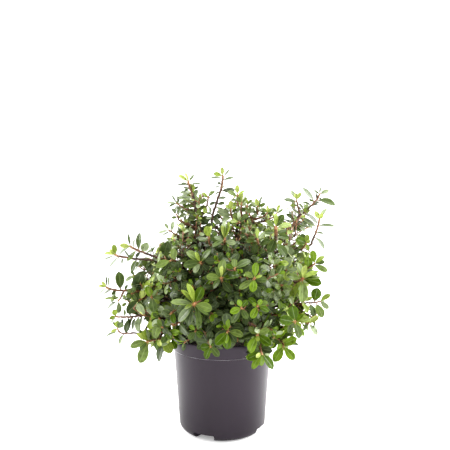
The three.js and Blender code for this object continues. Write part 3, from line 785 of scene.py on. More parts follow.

# Shoots that the photo shows well. "through" are the pixels that one passes and ends at, "ahead" is how far
# it stands before its mass's own tip, "leaves" are marked leaves as base, tip and width in pixels and the
# first letter of their tone. The row with "stem" is the mass's own stem. Below the marked leaves, and on a
# shoot that has none, more leaves follow by the spiral.
# The tone of a marked leaf gives the light or shade it shows as well as its own colour: painted light and
# painted shade
keyShoots = {
    "top_centre": [
        {"thick": 1.45, "through": ((212.6, 224), (212.4, 217), (213.6, 211.5), (216, 205), (218, 198),
            (220.3, 192), (221.5, 187), (222.6, 181), (222.8, 176)),
         "leaves": ((222.5, 175.5, 222, 167, 3.9, "l"), (222, 175, 213.5, 173.5, 3.9, "f"),
            (223.5, 177, 229.5, 169.5, 1.7, "d"), (223, 180.3, 233.5, 177.5, 2.2, "d"),
            (222, 178.3, 210.5, 178.2, 1.5, "d"), (222, 181.7, 216.8, 184, 1.4, "d"),
            (221.8, 189, 224.6, 185.5, 1.1, "p"), (221, 191, 235, 190, 5, "s"),
            (218.3, 193.5, 214, 190.5, 1.1, "p"), (217.5, 202, 209.5, 204.7, 3.2, "s"),
            (218, 204.5, 224.8, 202.8, 2.6, "d"), (219.5, 199.5, 226, 197.5, 2.2, "d"),
            (216.5, 206, 226.5, 215, 4.8, "p"), (212.4, 217, 204, 222.5, 4.6, "s"),
            (212.5, 218.5, 220.5, 223.5, 5.2, "p"), (212.5, 222, 205, 229, 5.2, "d"),
            (212.4, 214.8, 205.8, 212.8, 2.8, "d"), (212.6, 221, 218.5, 214.5, 3.7, "s"),
            (212.4, 217, 206, 218.3, 2.6, "p"), (221.3, 187.5, 214.3, 187.3, 1.7, "d"),
            (221.7, 184.5, 217, 182.8, 1.5, "d"), (220.5, 192, 214.5, 195.3, 1.7, "d"))},
    ],
    "top_left": [
        {"stem": True, "thick": 1.5, "through": ((197.5, 219), (196.5, 213), (195, 206), (194.2, 200),
            (192, 193), (189.5, 187), (188.2, 181.5)),
         "leaves": ((188, 181, 178.3, 175.6, 3.7, "l"), (188, 180.5, 184.5, 173, 2.2, "l"),
            (188.3, 181, 194, 174.8, 2.2, "d"), (188.8, 185, 176.3, 185.3, 2.4, "s"),
            (190, 184.8, 201.5, 184.2, 2.2, "d"), (189.8, 189.5, 183, 188, 2.4, "p"),
            (191, 192, 190.3, 183.5, 3.7, "l"), (192.5, 193, 193.7, 184.5, 3.5, "f"),
            (194.5, 199, 197.3, 189.5, 4.3, "p"), (192, 194, 180, 192.5, 3.2, "p"),
            (193.5, 198, 177, 197.5, 4.3, "p"), (193.5, 200, 179, 203.5, 4.5, "p"),
            (195, 206, 183, 207.5, 3.2, "g"), (195, 207, 198.5, 198, 2.4, "p"),
            (196, 205, 204.5, 199.5, 4, "p"), (196.5, 209, 206.5, 206.5, 3.8, "g"),
            (196.7, 214, 185.5, 212, 4.4, "p"), (197, 216, 206, 212.5, 4, "f"),
            (197, 218.5, 187, 219, 4.2, "g"), (195, 203, 184.5, 200.5, 3.6, "p"),
            (200, 225, 209, 221, 4.8, "s"), (200.5, 227, 208, 229.5, 4.6, "s"),
            (199, 222, 207.5, 216.5, 4.1, "d"), (199, 223, 190, 222, 4.1, "s"),
            (198, 219, 188.5, 215.5, 3.9, "p"), (199.5, 226, 190.5, 228.5, 4.6, "s"),
            (197, 213.5, 187.5, 209.5, 3.9, "g"), (190, 188, 184, 191.5, 2.6, "s"),
            (189, 186, 181.5, 183, 1.8, "d"), (190.5, 190.5, 198.5, 186.5, 2.6, "d"),
            (191.5, 192, 181, 197, 3, "p"))},
        {"through": ((184, 208), (177, 203.5)),
         "leaves": ((177, 204, 167.3, 202.5, 2.8, "p"), (176, 203, 169, 206.7, 1.9, "d"),
            (176, 202, 171.9, 195, 1.7, "d"), (178, 205, 174, 214, 2.8, "d"),
            (178, 204, 177.5, 196, 2.6, "p"), (181.5, 207, 178.5, 215.5, 3, "p"),
            (183, 207.8, 186.5, 201, 3.2, "g"))},
        {"through": ((203, 214), (207, 205), (208.4, 197)),
         "leaves": ((208.5, 196.5, 202, 192.8, 2.8, "f"), (208.5, 196.5, 214.8, 191, 3.2, "g"),
            (208.3, 197, 211.5, 190.8, 2.2, "g"), (208, 199, 199.5, 203.5, 4.1, "g"),
            (206, 207, 204.5, 213.5, 5, "f"), (207, 204, 210.5, 213, 2.8, "p"))},
        {"through": ((180, 218),)},
        {"through": ((187, 222),)},
        {"through": ((181, 222), (176.5, 214)),
         "leaves": ((176.5, 214, 172, 208.5, 3.2, "p"), (176.8, 214.5, 181.5, 206.5, 3.4, "p"),
            (177.5, 217, 171.5, 217.8, 2.8, "g"), (178, 218, 185.5, 213.5, 3.8, "p"))},
    ],
    "top_right": [
        {"stem": True, "thick": 1.2, "through": ((289, 229), (294, 223.5), (298, 218), (306, 210.5),
            (311, 206), (314.5, 202), (317.5, 198.5), (319.6, 194)),
         "leaves": ((319.6, 194, 329, 190.3, 4.3, "p"), (319.6, 193.5, 321.2, 187, 1.8, "d"),
            (319.3, 193, 314, 190, 1.8, "d"), (314, 201, 302.8, 188, 4.5, "d"),
            (318, 198, 321.5, 199, 1.5, "d"), (316.5, 200, 315.8, 193, 2.2, "s"),
            (312.5, 204.5, 319.3, 201.7, 2.1, "s"), (314.5, 202, 309, 199.5, 2.2, "g"),
            (317, 200, 335.3, 205, 5.2, "d"), (312.8, 209, 319, 204.3, 1.7, "d"),
            (308, 209, 304.3, 205.5, 3.9, "g"), (306, 213, 317.5, 223.5, 3, "s"),
            (298.5, 218, 315.3, 226.5, 5, "g"), (300, 217, 312.5, 229.2, 3, "g"),
            (297.5, 219.5, 298.3, 231, 5.4, "d"), (301, 214.5, 291.5, 208, 2.6, "p"),
            (303, 212, 293, 203.5, 1.7, "d"), (296, 221, 286, 214, 3.5, "d"),
            (298, 218, 287, 222, 2.4, "p"), (305, 211, 303.5, 202.5, 2.2, "g"),
            (297, 218.5, 288, 211.5, 1.9, "d"), (299, 216, 293.5, 209.5, 1.8, "s"),
            (300, 215.5, 297.5, 207, 2, "d"), (295, 222, 284, 219.5, 2, "s"),
            (296.5, 220, 303, 225, 2.2, "s"), (293, 224.5, 294, 232.5, 2.6, "s"),
            (292, 225.5, 301.5, 229.5, 2.2, "d"), (303, 212.5, 309.5, 216.5, 2.2, "f"),
            (302.5, 213, 308, 206.5, 3.5, "f"), (290, 228, 281, 226, 2.8, "g"),
            (288.5, 230, 292, 240, 4, "p"), (286, 233, 279.5, 240, 4, "d"),
            (311, 206, 302.5, 202, 2.8, "d"), (300, 217, 306.5, 226.5, 3, "p"),
            (295, 222, 308.5, 226.5, 3.4, "p"), (294, 224, 305, 232, 3, "g"))},
        {"through": ((296, 220), (299.3, 214), (298, 207), (296.6, 199.5)),
         "leaves": ((296.6, 199, 290.8, 190.8, 3.9, "p"), (296.8, 199, 300.8, 192.3, 3.9, "l"),
            (296.5, 200, 295.5, 193, 3.5, "l"), (296.3, 202, 283.8, 199.5, 3.9, "d"),
            (296.5, 203.5, 303, 210, 1.6, "d"), (297, 206, 290, 205.5, 2.4, "f"))},
        {"size": 0.8, "through": ((285, 214),)},
    ],
    "right_high": [
        {"stem": True, "thick": 1.2, "through": ((303, 247), (310.5, 245), (312.5, 240), (314.5, 236),
            (316.2, 231.5), (318, 226), (319.5, 219.5)),
         "leaves": ((319.5, 219.5, 315, 211, 4.8, "l"), (319.6, 219.5, 326.8, 208.5, 4.1, "p"),
            (319.7, 219.5, 322.5, 213, 4.3, "l"), (318.3, 226, 334.5, 226, 2.8, "d"),
            (316.5, 233, 323.5, 233.5, 2.2, "d"), (315, 236.5, 324, 249, 2.8, "d"))},
        {"ahead": 0.01, "size": 0.9, "through": ((300, 250), (306.5, 243)),
         "leaves": ((306.5, 243, 296.3, 239, 7.6, "m"), (306.5, 243, 307.6, 234.3, 5, "f"),
            (306.3, 243.3, 310, 240, 3, "l"), (305, 245, 297.5, 247.8, 3.7, "g"),
            (306.3, 243, 301.3, 233.8, 5, "d"), (306.3, 243.3, 308.5, 250.5, 3.7, "f"),
            (302.5, 248.5, 291.5, 255, 4.5, "d"))},
        {"ahead": 0.01, "through": ((300, 236),)},
        {"through": ((288, 243),)},
    ],
    "crown_top": [
        {"stem": True, "through": ((238.5, 212), (237.8, 203), (237.3, 194)),
         "leaves": ((237.3, 194, 237.3, 184.8, 4.8, "l"), (237.5, 197, 227.5, 191.3, 4.1, "g"),
            (237.6, 199, 231, 200, 2.8, "p"), (237.8, 203, 244, 206, 2.6, "f"),
            (237.5, 196, 245, 190.5, 2.8, "f"))},
        {"through": ((241, 212), (241.7, 203)),
         "leaves": ((241.5, 203, 242, 191.5, 4.1, "l"), (242, 203, 249, 193.3, 1.5, "p"),
            (241, 203, 236.5, 197, 3.9, "g"), (242, 204, 247, 197.5, 2.8, "l"))},
        {"through": ((232, 217), (230.8, 209)),
         "leaves": ((230.8, 209, 230.5, 200.5, 4.8, "l"), (230.5, 209, 225, 205.5, 2.6, "f"),
            (231.5, 210, 236.5, 206.5, 2.6, "f"), (230.3, 216, 218.3, 211.3, 7, "p"),
            (231, 214, 225.5, 206.5, 2.6, "p"), (230.5, 217, 222, 221, 4.4, "p"),
            (231, 213, 237, 209, 3.4, "d"), (231.5, 215, 238, 213.5, 3.6, "g"))},
        {"size": 0.85, "through": ((246.5, 214), (247, 205)),
         "leaves": ((247, 205, 252, 199.5, 2.8, "g"), (247, 205, 246, 198.5, 2.6, "f"),
            (247.2, 207, 254.5, 203.5, 3, "p"), (247, 209, 253, 210.5, 3, "g"),
            (246.8, 210, 240.5, 209.5, 3, "d"))},
        {"through": ((256.5, 215), (257.5, 206.5)),
         "leaves": ((257.5, 206, 262.8, 196, 1.8, "d"), (257.5, 206, 256, 198.5, 4.3, "l"),
            (257.5, 207, 265.5, 203.5, 3.7, "g"), (257, 207, 250, 201.5, 3, "p"),
            (257, 208, 261, 200, 3.2, "f"), (257.3, 208, 249, 205, 2.8, "g"), (257, 211, 266, 209, 3, "g"),
            (256.8, 212, 250.5, 211, 3, "d"))},
        {"size": 0.9, "through": ((267, 213),),
         "leaves": ((267, 213, 267, 205.5, 2.8, "l"), (267, 213, 262.5, 208.5, 2.8, "g"),
            (267, 213, 271.5, 208.3, 2.6, "f"), (267, 214, 260.5, 214, 3, "d"),
            (267, 213.5, 273, 213.5, 3, "d"))},
        {"through": ((277, 213),),
         "leaves": ((277, 213, 279.8, 204.8, 3.2, "l"), (277, 213, 272.5, 208, 2.6, "d"),
            (277, 214, 283, 209, 2.2, "g"))},
        {"ahead": 0.04, "through": ((241, 224), (238.7, 222)),
         "leaves": ((238.7, 222, 238.5, 211.5, 3.7, "p"), (238.5, 222, 233, 214.5, 4.1, "g"),
            (239, 222, 246, 216, 3.7, "d"), (238.5, 223, 230, 221, 3.5, "f"))},
        {"through": ((252, 222), (249.5, 214)),
         "leaves": ((249.5, 214, 246, 207.5, 3.4, "g"), (249.6, 214, 254.5, 208, 3.6, "p"),
            (249.8, 215.5, 242.5, 216, 3.6, "g"), (250, 216.5, 257.5, 215, 4, "p"))},
    ],
    "right_mid": [
        {"stem": True, "through": ((300, 272), (308, 268), (314.5, 264)),
         "leaves": ((314, 264, 324.2, 256.3, 4.3, "f"), (315, 264.5, 324.7, 261.5, 4.8, "d"),
            (314.5, 265, 327.6, 271, 5.6, "g"), (313.5, 263, 312.5, 250.3, 6.5, "b"),
            (309, 267, 308.3, 256.5, 8, "b"), (306, 269, 297.5, 262, 4.9, "f"))},
        {"ahead": 0.03, "through": ((296, 283), (302.3, 278.6)),
         "leaves": ((303, 279.5, 321.5, 283.5, 9.4, "m"), (303, 277.5, 318.5, 271.3, 4.8, "f"),
            (302.5, 277, 306.5, 265.5, 4.3, "l"), (302, 277, 298, 262.5, 5.4, "g"),
            (301.5, 278, 286.5, 276, 5.8, "g"), (302.5, 280, 302, 302.5, 8.6, "g"),
            (301, 280, 292.5, 297, 5.4, "f"), (302, 279.5, 320.5, 277, 3.2, "g"),
            (303, 278, 313.5, 286.5, 3.4, "g"))},
        {"ahead": 0.02, "through": ((288, 269),)},
        {"ahead": 0.03, "through": ((283, 285),)},
    ],
    "right_low": [
        {"stem": True, "through": ((300, 303.5), (309, 302.7), (316, 302.5), (320.5, 301)),
         "leaves": ((320, 301, 330.3, 294.3, 5, "f"), (320, 302, 328.8, 308.5, 6.2, "p"),
            (314, 302, 317.5, 288, 8.9, "m"), (309, 303, 315, 317, 5.8, "d"),
            (315.5, 303, 322.8, 317.5, 8.3, "g"), (318, 302, 325, 301.5, 1.7, "p"),
            (301, 303.5, 296.5, 311.5, 4.5, "g"), (303, 303.2, 301.5, 309.5, 3, "g"))},
        {"through": ((303, 321), (308.7, 323.3)),
         "leaves": ((309, 323.5, 317.5, 334.7, 5.6, "p"), (308.5, 324, 303.5, 330.5, 3.2, "p"),
            (309, 323, 318.8, 316.5, 5, "l"), (307, 322.5, 303, 313.5, 4.5, "f"))},
    ],
    "front_skirt": [
        {"stem": True, "ahead": 0.03, "through": ((257, 341), (261.5, 353)),
         "leaves": ((261, 353, 256, 357.5, 3.9, "l"), (260.5, 353, 247.5, 359, 7.8, "m"),
            (261, 354, 252, 368.8, 6.5, "b"), (261.5, 354, 261.8, 366, 3.9, "b"),
            (262, 353.5, 273.3, 369, 8.2, "m"), (260.5, 349, 251, 348, 5, "d"))},
    ],
    "right_skirt": [
        {"stem": True, "ahead": 0.02, "through": ((274, 334), (281, 341), (283.7, 346.5)),
         "leaves": ((283, 346.5, 273.8, 361.8, 10.4, "b"), (284.5, 346.5, 294.5, 359.8, 8.9, "b"),
            (284, 346, 284.3, 351, 2.8, "l"), (283.5, 344, 297, 338, 7.8, "b"),
            (282.5, 343.5, 272, 341, 4.3, "d"), (281, 341, 291.5, 330.5, 5.4, "g"),
            (282, 343, 299, 344.5, 3.4, "d"))},
        {"ahead": 0.03, "through": ((286, 326), (295.3, 321.7)),
         "leaves": ((295, 321.5, 279.5, 319, 9.7, "m"), (294.8, 321, 286.5, 311, 3.9, "f"),
            (295.5, 320.5, 292, 305.5, 8.6, "m"), (296, 321, 310.5, 318.7, 6, "f"),
            (294.8, 322.5, 299.5, 338.5, 7.6, "d"), (296, 320.8, 303.5, 314, 4.1, "b"),
            (295, 323, 288, 333, 5.4, "p"))},
        {"ahead": 0.02, "through": ((277, 315),)},
    ],
    "front_skirt_left": [
        {"stem": True, "ahead": 0.03, "through": ((207, 334), (210.5, 346)),
         "leaves": ((210.5, 346, 210, 338.5, 3.2, "p"), (210, 347, 205.5, 358.7, 5.8, "m"),
            (209.5, 346.5, 200.5, 348, 6.7, "m"), (211, 347, 219, 356.3, 6.9, "d"),
            (210.5, 346.5, 214, 343.5, 3, "m"))},
        {"ahead": 0.02, "through": ((200, 326), (195, 331)),
         "leaves": ((194.7, 331, 188.3, 339.3, 5.6, "d"), (195, 330.5, 189.5, 325, 4.1, "b"),
            (195.5, 331, 202.5, 336.5, 5.6, "m"), (194.8, 331.5, 196, 341, 5, "s"))},
        {"ahead": -0.02, "through": ((184, 343),)},
    ],
    "front_high_right": [
        {"stem": True, "ahead": 0.02, "thick": 1.9, "through": ((273, 245), (275.8, 236), (275.7, 227)),
         "leaves": ((275.7, 227, 275.4, 213.3, 4.8, "f"), (276, 227.5, 283.5, 214.5, 7.6, "d"),
            (275.3, 227.5, 266.5, 220.5, 4.5, "g"), (276.5, 229, 291, 224, 5.2, "f"),
            (275, 232, 264.5, 233, 4.5, "d"), (276.5, 236, 289, 238, 5.2, "d"),
            (275, 238, 269, 252.5, 8.6, "d"), (276.5, 233, 287, 231, 4.5, "d"),
            (276, 243, 286.5, 256.5, 6.5, "d"), (275, 241, 281.5, 258.5, 4.5, "m"))},
        {"ahead": 0.02, "through": ((258, 243), (257.5, 239)),
         "leaves": ((257.5, 239, 256.7, 228, 3.9, "f"), (257.3, 241.5, 245.5, 241, 3.7, "g"),
            (257.5, 240, 265, 232, 4.3, "p"), (257.5, 242, 253.5, 254, 6.5, "d"))},
    ],
    "front_centre": [
        {"stem": True, "ahead": 0.018, "through": ((249, 284), (254.7, 278.5)),
         "leaves": ((254.7, 278, 256.5, 262.5, 6.7, "b"), (254, 278, 244.8, 272.5, 4.8, "g"),
            (254, 279, 239.2, 288.7, 6.5, "g"), (254.8, 279, 252.5, 292, 8.6, "b"),
            (255, 278.3, 262, 275.5, 3.2, "f"), (255.3, 279, 267, 280, 6, "d"))},
        {"ahead": 0.01, "through": ((254, 312), (257.7, 305.5)),
         "leaves": ((257.5, 305.5, 252, 303.5, 3.5, "b"), (257.5, 306, 251.5, 318.3, 7.3, "b"),
            (258, 305, 261.5, 299.5, 3.5, "b"), (258, 306, 269, 310.8, 5.4, "m"),
            (257, 305, 248.5, 298, 5.2, "m"), (258.3, 305.5, 268, 302, 5, "g"))},
        {"ahead": 0.01, "through": ((246, 311), (241.3, 307.8)),
         "leaves": ((241.2, 307.5, 238.3, 299.5, 4.8, "b"), (241, 308, 230, 312.5, 7.1, "b"),
            (241, 308.5, 231.5, 323, 6.5, "d"), (241.5, 307.5, 247.5, 300, 5.4, "m"),
            (241.6, 308.3, 247.5, 319, 6.5, "d"))},
        {"ahead": 0.01, "through": ((236, 273), (234.5, 268.5)),
         "leaves": ((234.5, 268, 234.5, 258.7, 5.4, "g"), (235, 268, 250.5, 260.5, 7.1, "d"),
            (234, 268.5, 226, 265, 4.5, "m"))},
    ],
    "front_high": [
        {"stem": True, "ahead": 0.02, "through": ((224.5, 252), (224.7, 245), (224.8, 239)),
         "leaves": ((224.5, 238, 221.3, 225.5, 4.1, "l"), (224.8, 238, 225, 220, 5, "g"),
            (225.2, 238, 228.8, 221.7, 4.3, "f"), (224.3, 240, 211.7, 246.8, 4.3, "d"),
            (225.3, 241, 235.8, 243.5, 5.4, "p"), (225, 243, 226, 251.5, 5, "d"),
            (224.3, 242, 214, 236.5, 4.5, "d"))},
        {"ahead": 0.055, "through": ((224, 285), (221, 278)),
         "leaves": ((220.8, 277.5, 206.3, 276.5, 7.3, "g"), (221.3, 277.5, 241.3, 274.5, 8, "m"),
            (220.9, 276.5, 215.3, 267, 3.7, "d"), (221.1, 276.5, 223.5, 259.3, 7.3, "g"),
            (221.1, 277, 222.6, 265.5, 3.7, "l"), (221, 278.5, 213.5, 288.5, 5.4, "d"))},
        {"ahead": 0.065, "through": ((217.7, 287), (206, 296.5), (194, 304)),
         "leaves": ((193, 303.5, 170.5, 302, 6.5, "g"), (193.3, 303, 187, 283.5, 5, "f"),
            (194.3, 303, 202.5, 287, 8.6, "m"), (193.3, 304.5, 178.5, 321.5, 8.2, "d"),
            (194, 305, 188, 325.5, 6.9, "s"), (195, 305, 197.8, 330, 4.3, "d"),
            (195, 304.3, 212, 309.5, 8.6, "g"), (194.5, 305, 209, 315, 3.7, "d"),
            (193, 304, 184.5, 309, 3.7, "f"), (193.3, 303, 181, 290, 3.4, "f"))},
        {"through": ((210, 244), (209, 237.5)),
         "leaves": ((209, 237, 206.3, 226, 7.1, "f"), (209.3, 237, 211.9, 225.7, 2.8, "l"),
            (208.5, 238, 198.5, 239.7, 3.9, "d"), (209.5, 238.5, 218, 240.5, 4.3, "d"))},
    ],
    "front_left": [
        {"stem": True, "ahead": -0.01, "through": ((199, 300), (192.5, 286))},
        {"ahead": -0.02, "through": ((178, 309), (170, 314))},
        {"ahead": -0.03, "through": ((172, 326),)},
    ],
    "front_low": [
        {"stem": True, "ahead": 0.02, "through": ((230, 323), (227.6, 331.5)),
         "leaves": ((227.7, 331, 228.4, 318.8, 4.1, "b"), (227.5, 331, 223, 325, 3.2, "b"),
            (227.5, 332, 226, 343.5, 4.3, "b"), (228, 332.5, 227, 349.3, 8.4, "m"),
            (227, 331.5, 215.5, 344.5, 9.7, "m"), (228.2, 331.8, 243.3, 336, 6.3, "g"))},
        {"ahead": 0.01, "through": ((258, 328), (257.2, 335)),
         "leaves": ((256.8, 334.7, 248.5, 327.7, 5, "g"), (257, 336, 249.8, 352.5, 8, "b"),
            (257.3, 336, 257.8, 341.5, 3.2, "f"), (257.7, 334.5, 269, 329, 6.5, "g"),
            (258, 335.8, 271, 344.8, 8.4, "m"), (256.8, 335.5, 240.3, 339, 5.2, "d"))},
        {"ahead": -0.03, "through": ((238, 342),)},
        {"ahead": -0.03, "through": ((272, 330),)},
    ],
    "front_high_left": [
        {"stem": True, "through": ((180, 264), (171, 260)),
         "leaves": ((171, 259.5, 156, 266.5, 7.6, "g"), (171.5, 260.5, 162, 272, 6.5, "s"),
            (172, 259, 174.5, 248, 5.4, "g"))},
        {"ahead": 0.03, "through": ((204, 268), (200.7, 262.7)),
         "leaves": ((200.3, 262.5, 183.5, 265.5, 8.4, "d"), (200.3, 262, 186.5, 251.5, 6.7, "g"),
            (200.5, 262, 195.3, 252, 3.7, "f"), (200.5, 263.5, 193.5, 272.3, 5.4, "p"),
            (201, 262, 211, 249.5, 5.6, "d"), (201, 263.5, 207.5, 271, 5, "s"))},
        {"ahead": 0.01, "through": ((178, 271),)},
        {"ahead": -0.02, "through": ((163, 283),)},
    ],
    "left_shoulder": [
        {"stem": True, "through": ((182, 238), (174.6, 233.8), (169, 230)),
         "leaves": ((172, 232, 173.5, 221.5, 3.9, "p"), (169, 230, 164.5, 223.5, 2.8, "p"),
            (169, 230, 158.5, 232.5, 2.8, "p"), (171, 231.5, 162, 235.8, 1.9, "d"))},
        {"size": 0.9, "through": ((183, 229),)},
        {"size": 0.9, "through": ((170, 240),)},
    ],
    "left_high": [
        {"stem": True, "thick": 1.4, "through": ((158, 263), (146, 259.7), (137, 259), (131, 258.5),
            (124, 257), (120, 256.5), (115.5, 255)),
         "leaves": ((115.5, 255, 113.5, 244.5, 5.4, "f"), (115.3, 254.8, 104.5, 253.5, 3.2, "l"),
            (115.5, 255.3, 103.3, 259.6, 1.8, "d"), (119, 256.5, 108.5, 268.7, 2.5, "d"),
            (124, 257, 122, 263.8, 1.7, "d"), (115.3, 255, 109.5, 249.5, 3.5, "l"),
            (137, 259, 131.5, 272, 5, "d"), (143, 259.5, 134.5, 270.5, 1.7, "d"),
            (152, 261, 147.5, 272, 9.1, "s"), (131, 258.5, 127, 260.5, 2.2, "d"),
            (130, 258.5, 124.5, 250.5, 2, "d"))},
        {"thick": 1.4, "through": ((170, 262), (158.5, 257.5), (150, 255), (145, 253), (138, 250.5),
            (133, 248), (130.3, 246.5)),
         "leaves": ((130.3, 246.5, 119.8, 245.2, 5.2, "l"), (130.5, 247, 119.5, 254.3, 2.2, "d"),
            (130.5, 246.5, 128, 233.8, 2.8, "d"), (133.5, 248, 134.7, 239, 1.7, "d"),
            (139.3, 250.8, 140.3, 232.7, 6, "d"), (142, 252, 147.3, 242.5, 7.6, "p"),
            (154, 256, 149.5, 245.3, 1.5, "d"), (136, 250, 126.8, 260.8, 4.5, "g"),
            (162.5, 258, 168, 241.5, 11, "d"), (150, 255, 155.5, 246.5, 2.4, "d"),
            (145, 253, 152, 249.5, 2, "d"), (141, 252, 135.5, 257.5, 3.2, "s"))},
    ],
    "left_mid": [
        {"stem": True, "thick": 1.3, "through": ((140, 292), (128, 291), (123.5, 290.7), (119, 290.5),
            (113, 289.5), (108.5, 288.5), (106.5, 287)),
         "leaves": ((106.5, 287, 98.3, 286, 2.8, "l"), (106.7, 286.8, 101.5, 281.8, 3, "l"),
            (106.8, 287, 106.3, 276.3, 1.8, "d"), (109, 288.5, 109.4, 275.8, 1.8, "d"),
            (120.5, 290.5, 118.6, 271.7, 9.1, "d"), (107, 288, 96.4, 297.2, 1.8, "d"),
            (109.5, 289, 102.3, 295.7, 1.9, "d"), (116, 290, 111.3, 302.5, 4.2, "g"),
            (124.5, 291, 127.8, 284.8, 2.8, "d"), (127.5, 291, 129.5, 299.5, 6, "d"),
            (135.5, 291.5, 141.5, 273, 11.3, "s"), (112, 289.5, 105.5, 293, 2, "d"),
            (117, 290.5, 111.5, 294.5, 3, "d"))},
        {"through": ((137, 291), (131.5, 294)),
         "leaves": ((131.5, 294, 126.5, 297.5, 3.9, "g"), (131.5, 294, 127, 289.5, 3.7, "g"),
            (131.5, 294, 134.5, 287, 4.3, "d"), (131.8, 294, 135.5, 300.5, 4.3, "d"))},
        {"through": ((144, 298), (140.5, 299.5)),
         "leaves": ((140.5, 299.5, 127, 313.3, 12.4, "s"), (140.5, 299, 142.5, 289.5, 4.3, "l"),
            (141, 300, 148, 307, 4.3, "d"), (140.8, 299.5, 134, 292.5, 3.9, "d"),
            (141, 299.5, 146, 291.5, 3.7, "l"))},
        {"ahead": -0.012, "through": ((140, 282), (134.5, 275.5)),
         "leaves": ((134.5, 275.5, 125.5, 280.8, 4.1, "p"), (134.3, 275.3, 131, 270.5, 3.2, "d"))},
        {"ahead": 0.03, "through": ((156, 303), (151.4, 296.5)),
         "leaves": ((151.5, 297, 154, 312.5, 9.4, "d"), (151.3, 296.8, 142.8, 308.5, 4.6, "s"),
            (151, 296.3, 157, 290, 3.7, "d"), (151.5, 296, 148, 288.5, 3.2, "f"),
            (151.6, 296.5, 161, 298, 5, "d"))},
        {"through": ((124, 291), (121.3, 296.5), (118.5, 301)),
         "leaves": ((118.5, 301, 118.8, 313.5, 5.4, "p"), (118.3, 300.5, 107.3, 309, 2.4, "d"),
            (120.5, 298, 130, 299.8, 2, "d"), (120, 299, 113, 296.5, 2.2, "g"),
            (119.5, 300, 104.3, 299, 2.8, "f"))},
    ],
    "left_low": [
        {"stem": True, "thick": 1.2, "through": ((157, 313), (147, 313), (141, 315), (134, 316.5),
            (127, 317), (121, 317), (116, 316.5)),
         "leaves": ((116.3, 316.5, 113.5, 309.3, 6, "f"), (116, 316.7, 109, 318.6, 5, "f"),
            (116.5, 317, 109.3, 324, 1.9, "d"), (121.5, 317, 121.7, 326.3, 2.3, "s"),
            (133, 317, 125.3, 332.5, 6.3, "s"), (136, 316.5, 133, 330.5, 4.2, "d"),
            (139, 316, 138, 332, 6.2, "p"), (146, 314, 148.5, 322, 4.3, "d"),
            (125, 317, 124, 309.5, 3, "p"), (143, 315, 141, 324, 2.2, "d"),
            (131, 316.8, 128.5, 310.8, 2.2, "d"), (137, 316.3, 134.5, 309.8, 2.6, "d"),
            (146.5, 313.5, 152.5, 320.5, 5.4, "d"), (134.5, 316.8, 130.5, 322.5, 2.1, "d"),
            (143, 315, 147, 308, 3.7, "g"), (149, 313, 143.5, 320.5, 2.6, "s"),
            (150, 313, 149.5, 323, 3.7, "d"), (127, 317, 129.5, 324, 2, "d"))},
        {"through": ((143, 333), (137, 333), (130, 333), (122.5, 333.5), (119.3, 331.7), (117.5, 328.5)),
         "leaves": ((117.5, 328.5, 117.3, 320.5, 5, "f"), (117.3, 328.3, 112.8, 322, 2.8, "f"),
            (118, 328.5, 122.3, 322.5, 4.8, "d"), (117.3, 329, 110.8, 331.5, 3.7, "l"),
            (119, 331.5, 105.3, 336.8, 2.1, "d"), (124.5, 333.8, 119.3, 344.3, 4.4, "p"))},
        {"ahead": 0.02, "through": ((165, 318), (159.5, 318.5)),
         "leaves": ((159.8, 318.5, 154.5, 338, 9.1, "g"), (159.5, 318, 152, 326, 4.3, "p"),
            (160, 318, 164, 329, 7.6, "s"), (159.5, 318, 153, 313.5, 4.1, "d"))},
    ],
    "left_skirt": [
        {"stem": True, "through": ((176, 337), (168, 338), (161, 339), (152, 340.5), (147.5, 341.5)),
         "leaves": ((147.5, 341.5, 130, 346.5, 8, "g"), (147.3, 341.8, 140, 350, 4.8, "d"),
            (148.5, 341.5, 139.5, 363, 11.2, "g"), (147, 341, 136.5, 333.8, 4.3, "l"),
            (147.3, 341, 141.5, 331.3, 4.1, "f"), (149, 341, 145.5, 328.5, 3.9, "p"),
            (158, 339.3, 156, 349.7, 4.1, "m"), (163, 338.8, 171.5, 352.8, 10.8, "f"),
            (165.5, 338.3, 158.7, 362, 8.6, "s"), (166, 338.3, 162.5, 327, 4.3, "s"),
            (172, 337.5, 176, 349, 6.5, "m"), (155, 340, 150.5, 331, 3.9, "p"),
            (152, 340.5, 147, 332, 3, "s"), (154, 340, 141, 337.5, 3.2, "p"))},
        {"ahead": 0.02, "through": ((172, 330), (162, 327)),
         "leaves": ((162, 327, 153, 325, 4.3, "g"), (162, 327, 157.5, 319.5, 4.3, "g"),
            (162.3, 327.3, 167.5, 333.5, 6.5, "s"), (162, 327.3, 156.5, 333, 4.3, "g"))},
    ],
}


# The outline, in pixels of the photo, that every shoot and leaf without a mark keeps inside
fullOutline = (
    (182, 190), (188, 184), (198, 184), (201, 192), (211, 193), (212, 203), (209, 211), (217, 210.5),
    (227, 209), (228, 202), (233, 197), (236, 190), (245, 193), (252, 199), (262, 199), (268, 204),
    (278, 206), (284, 211), (286, 204), (296, 200), (301, 203), (309, 203), (315, 200), (316, 205),
    (307, 213), (311, 222), (313, 228), (304, 231), (300, 236), (309, 243), (302, 250), (313, 252),
    (317, 260), (317, 268), (320, 276), (321, 286), (309, 288), (306, 295), (312, 297), (318, 292),
    (319, 302), (323, 316), (314, 320), (320, 337), (309, 340), (303, 346), (290, 349), (278, 351),
    (270, 354), (262, 366), (252, 366), (246, 358), (245, 342), (234, 344), (226, 348), (217, 352),
    (205, 356), (199, 345), (190, 342), (184, 352), (175, 356), (163, 354), (153, 350), (146, 345),
    (139, 338), (137, 327), (150, 322), (147, 314), (138, 316), (124, 315), (122, 303), (132, 300),
    (123, 299), (119, 290), (131, 286), (128, 277), (142, 272), (146, 280), (151, 278), (146, 268),
    (130, 263), (139, 257), (152, 258), (156, 250), (158, 241), (166, 238), (172, 234), (177, 227),
    (176, 218), (178, 212), (172, 206), (172, 198), (179, 192),
)

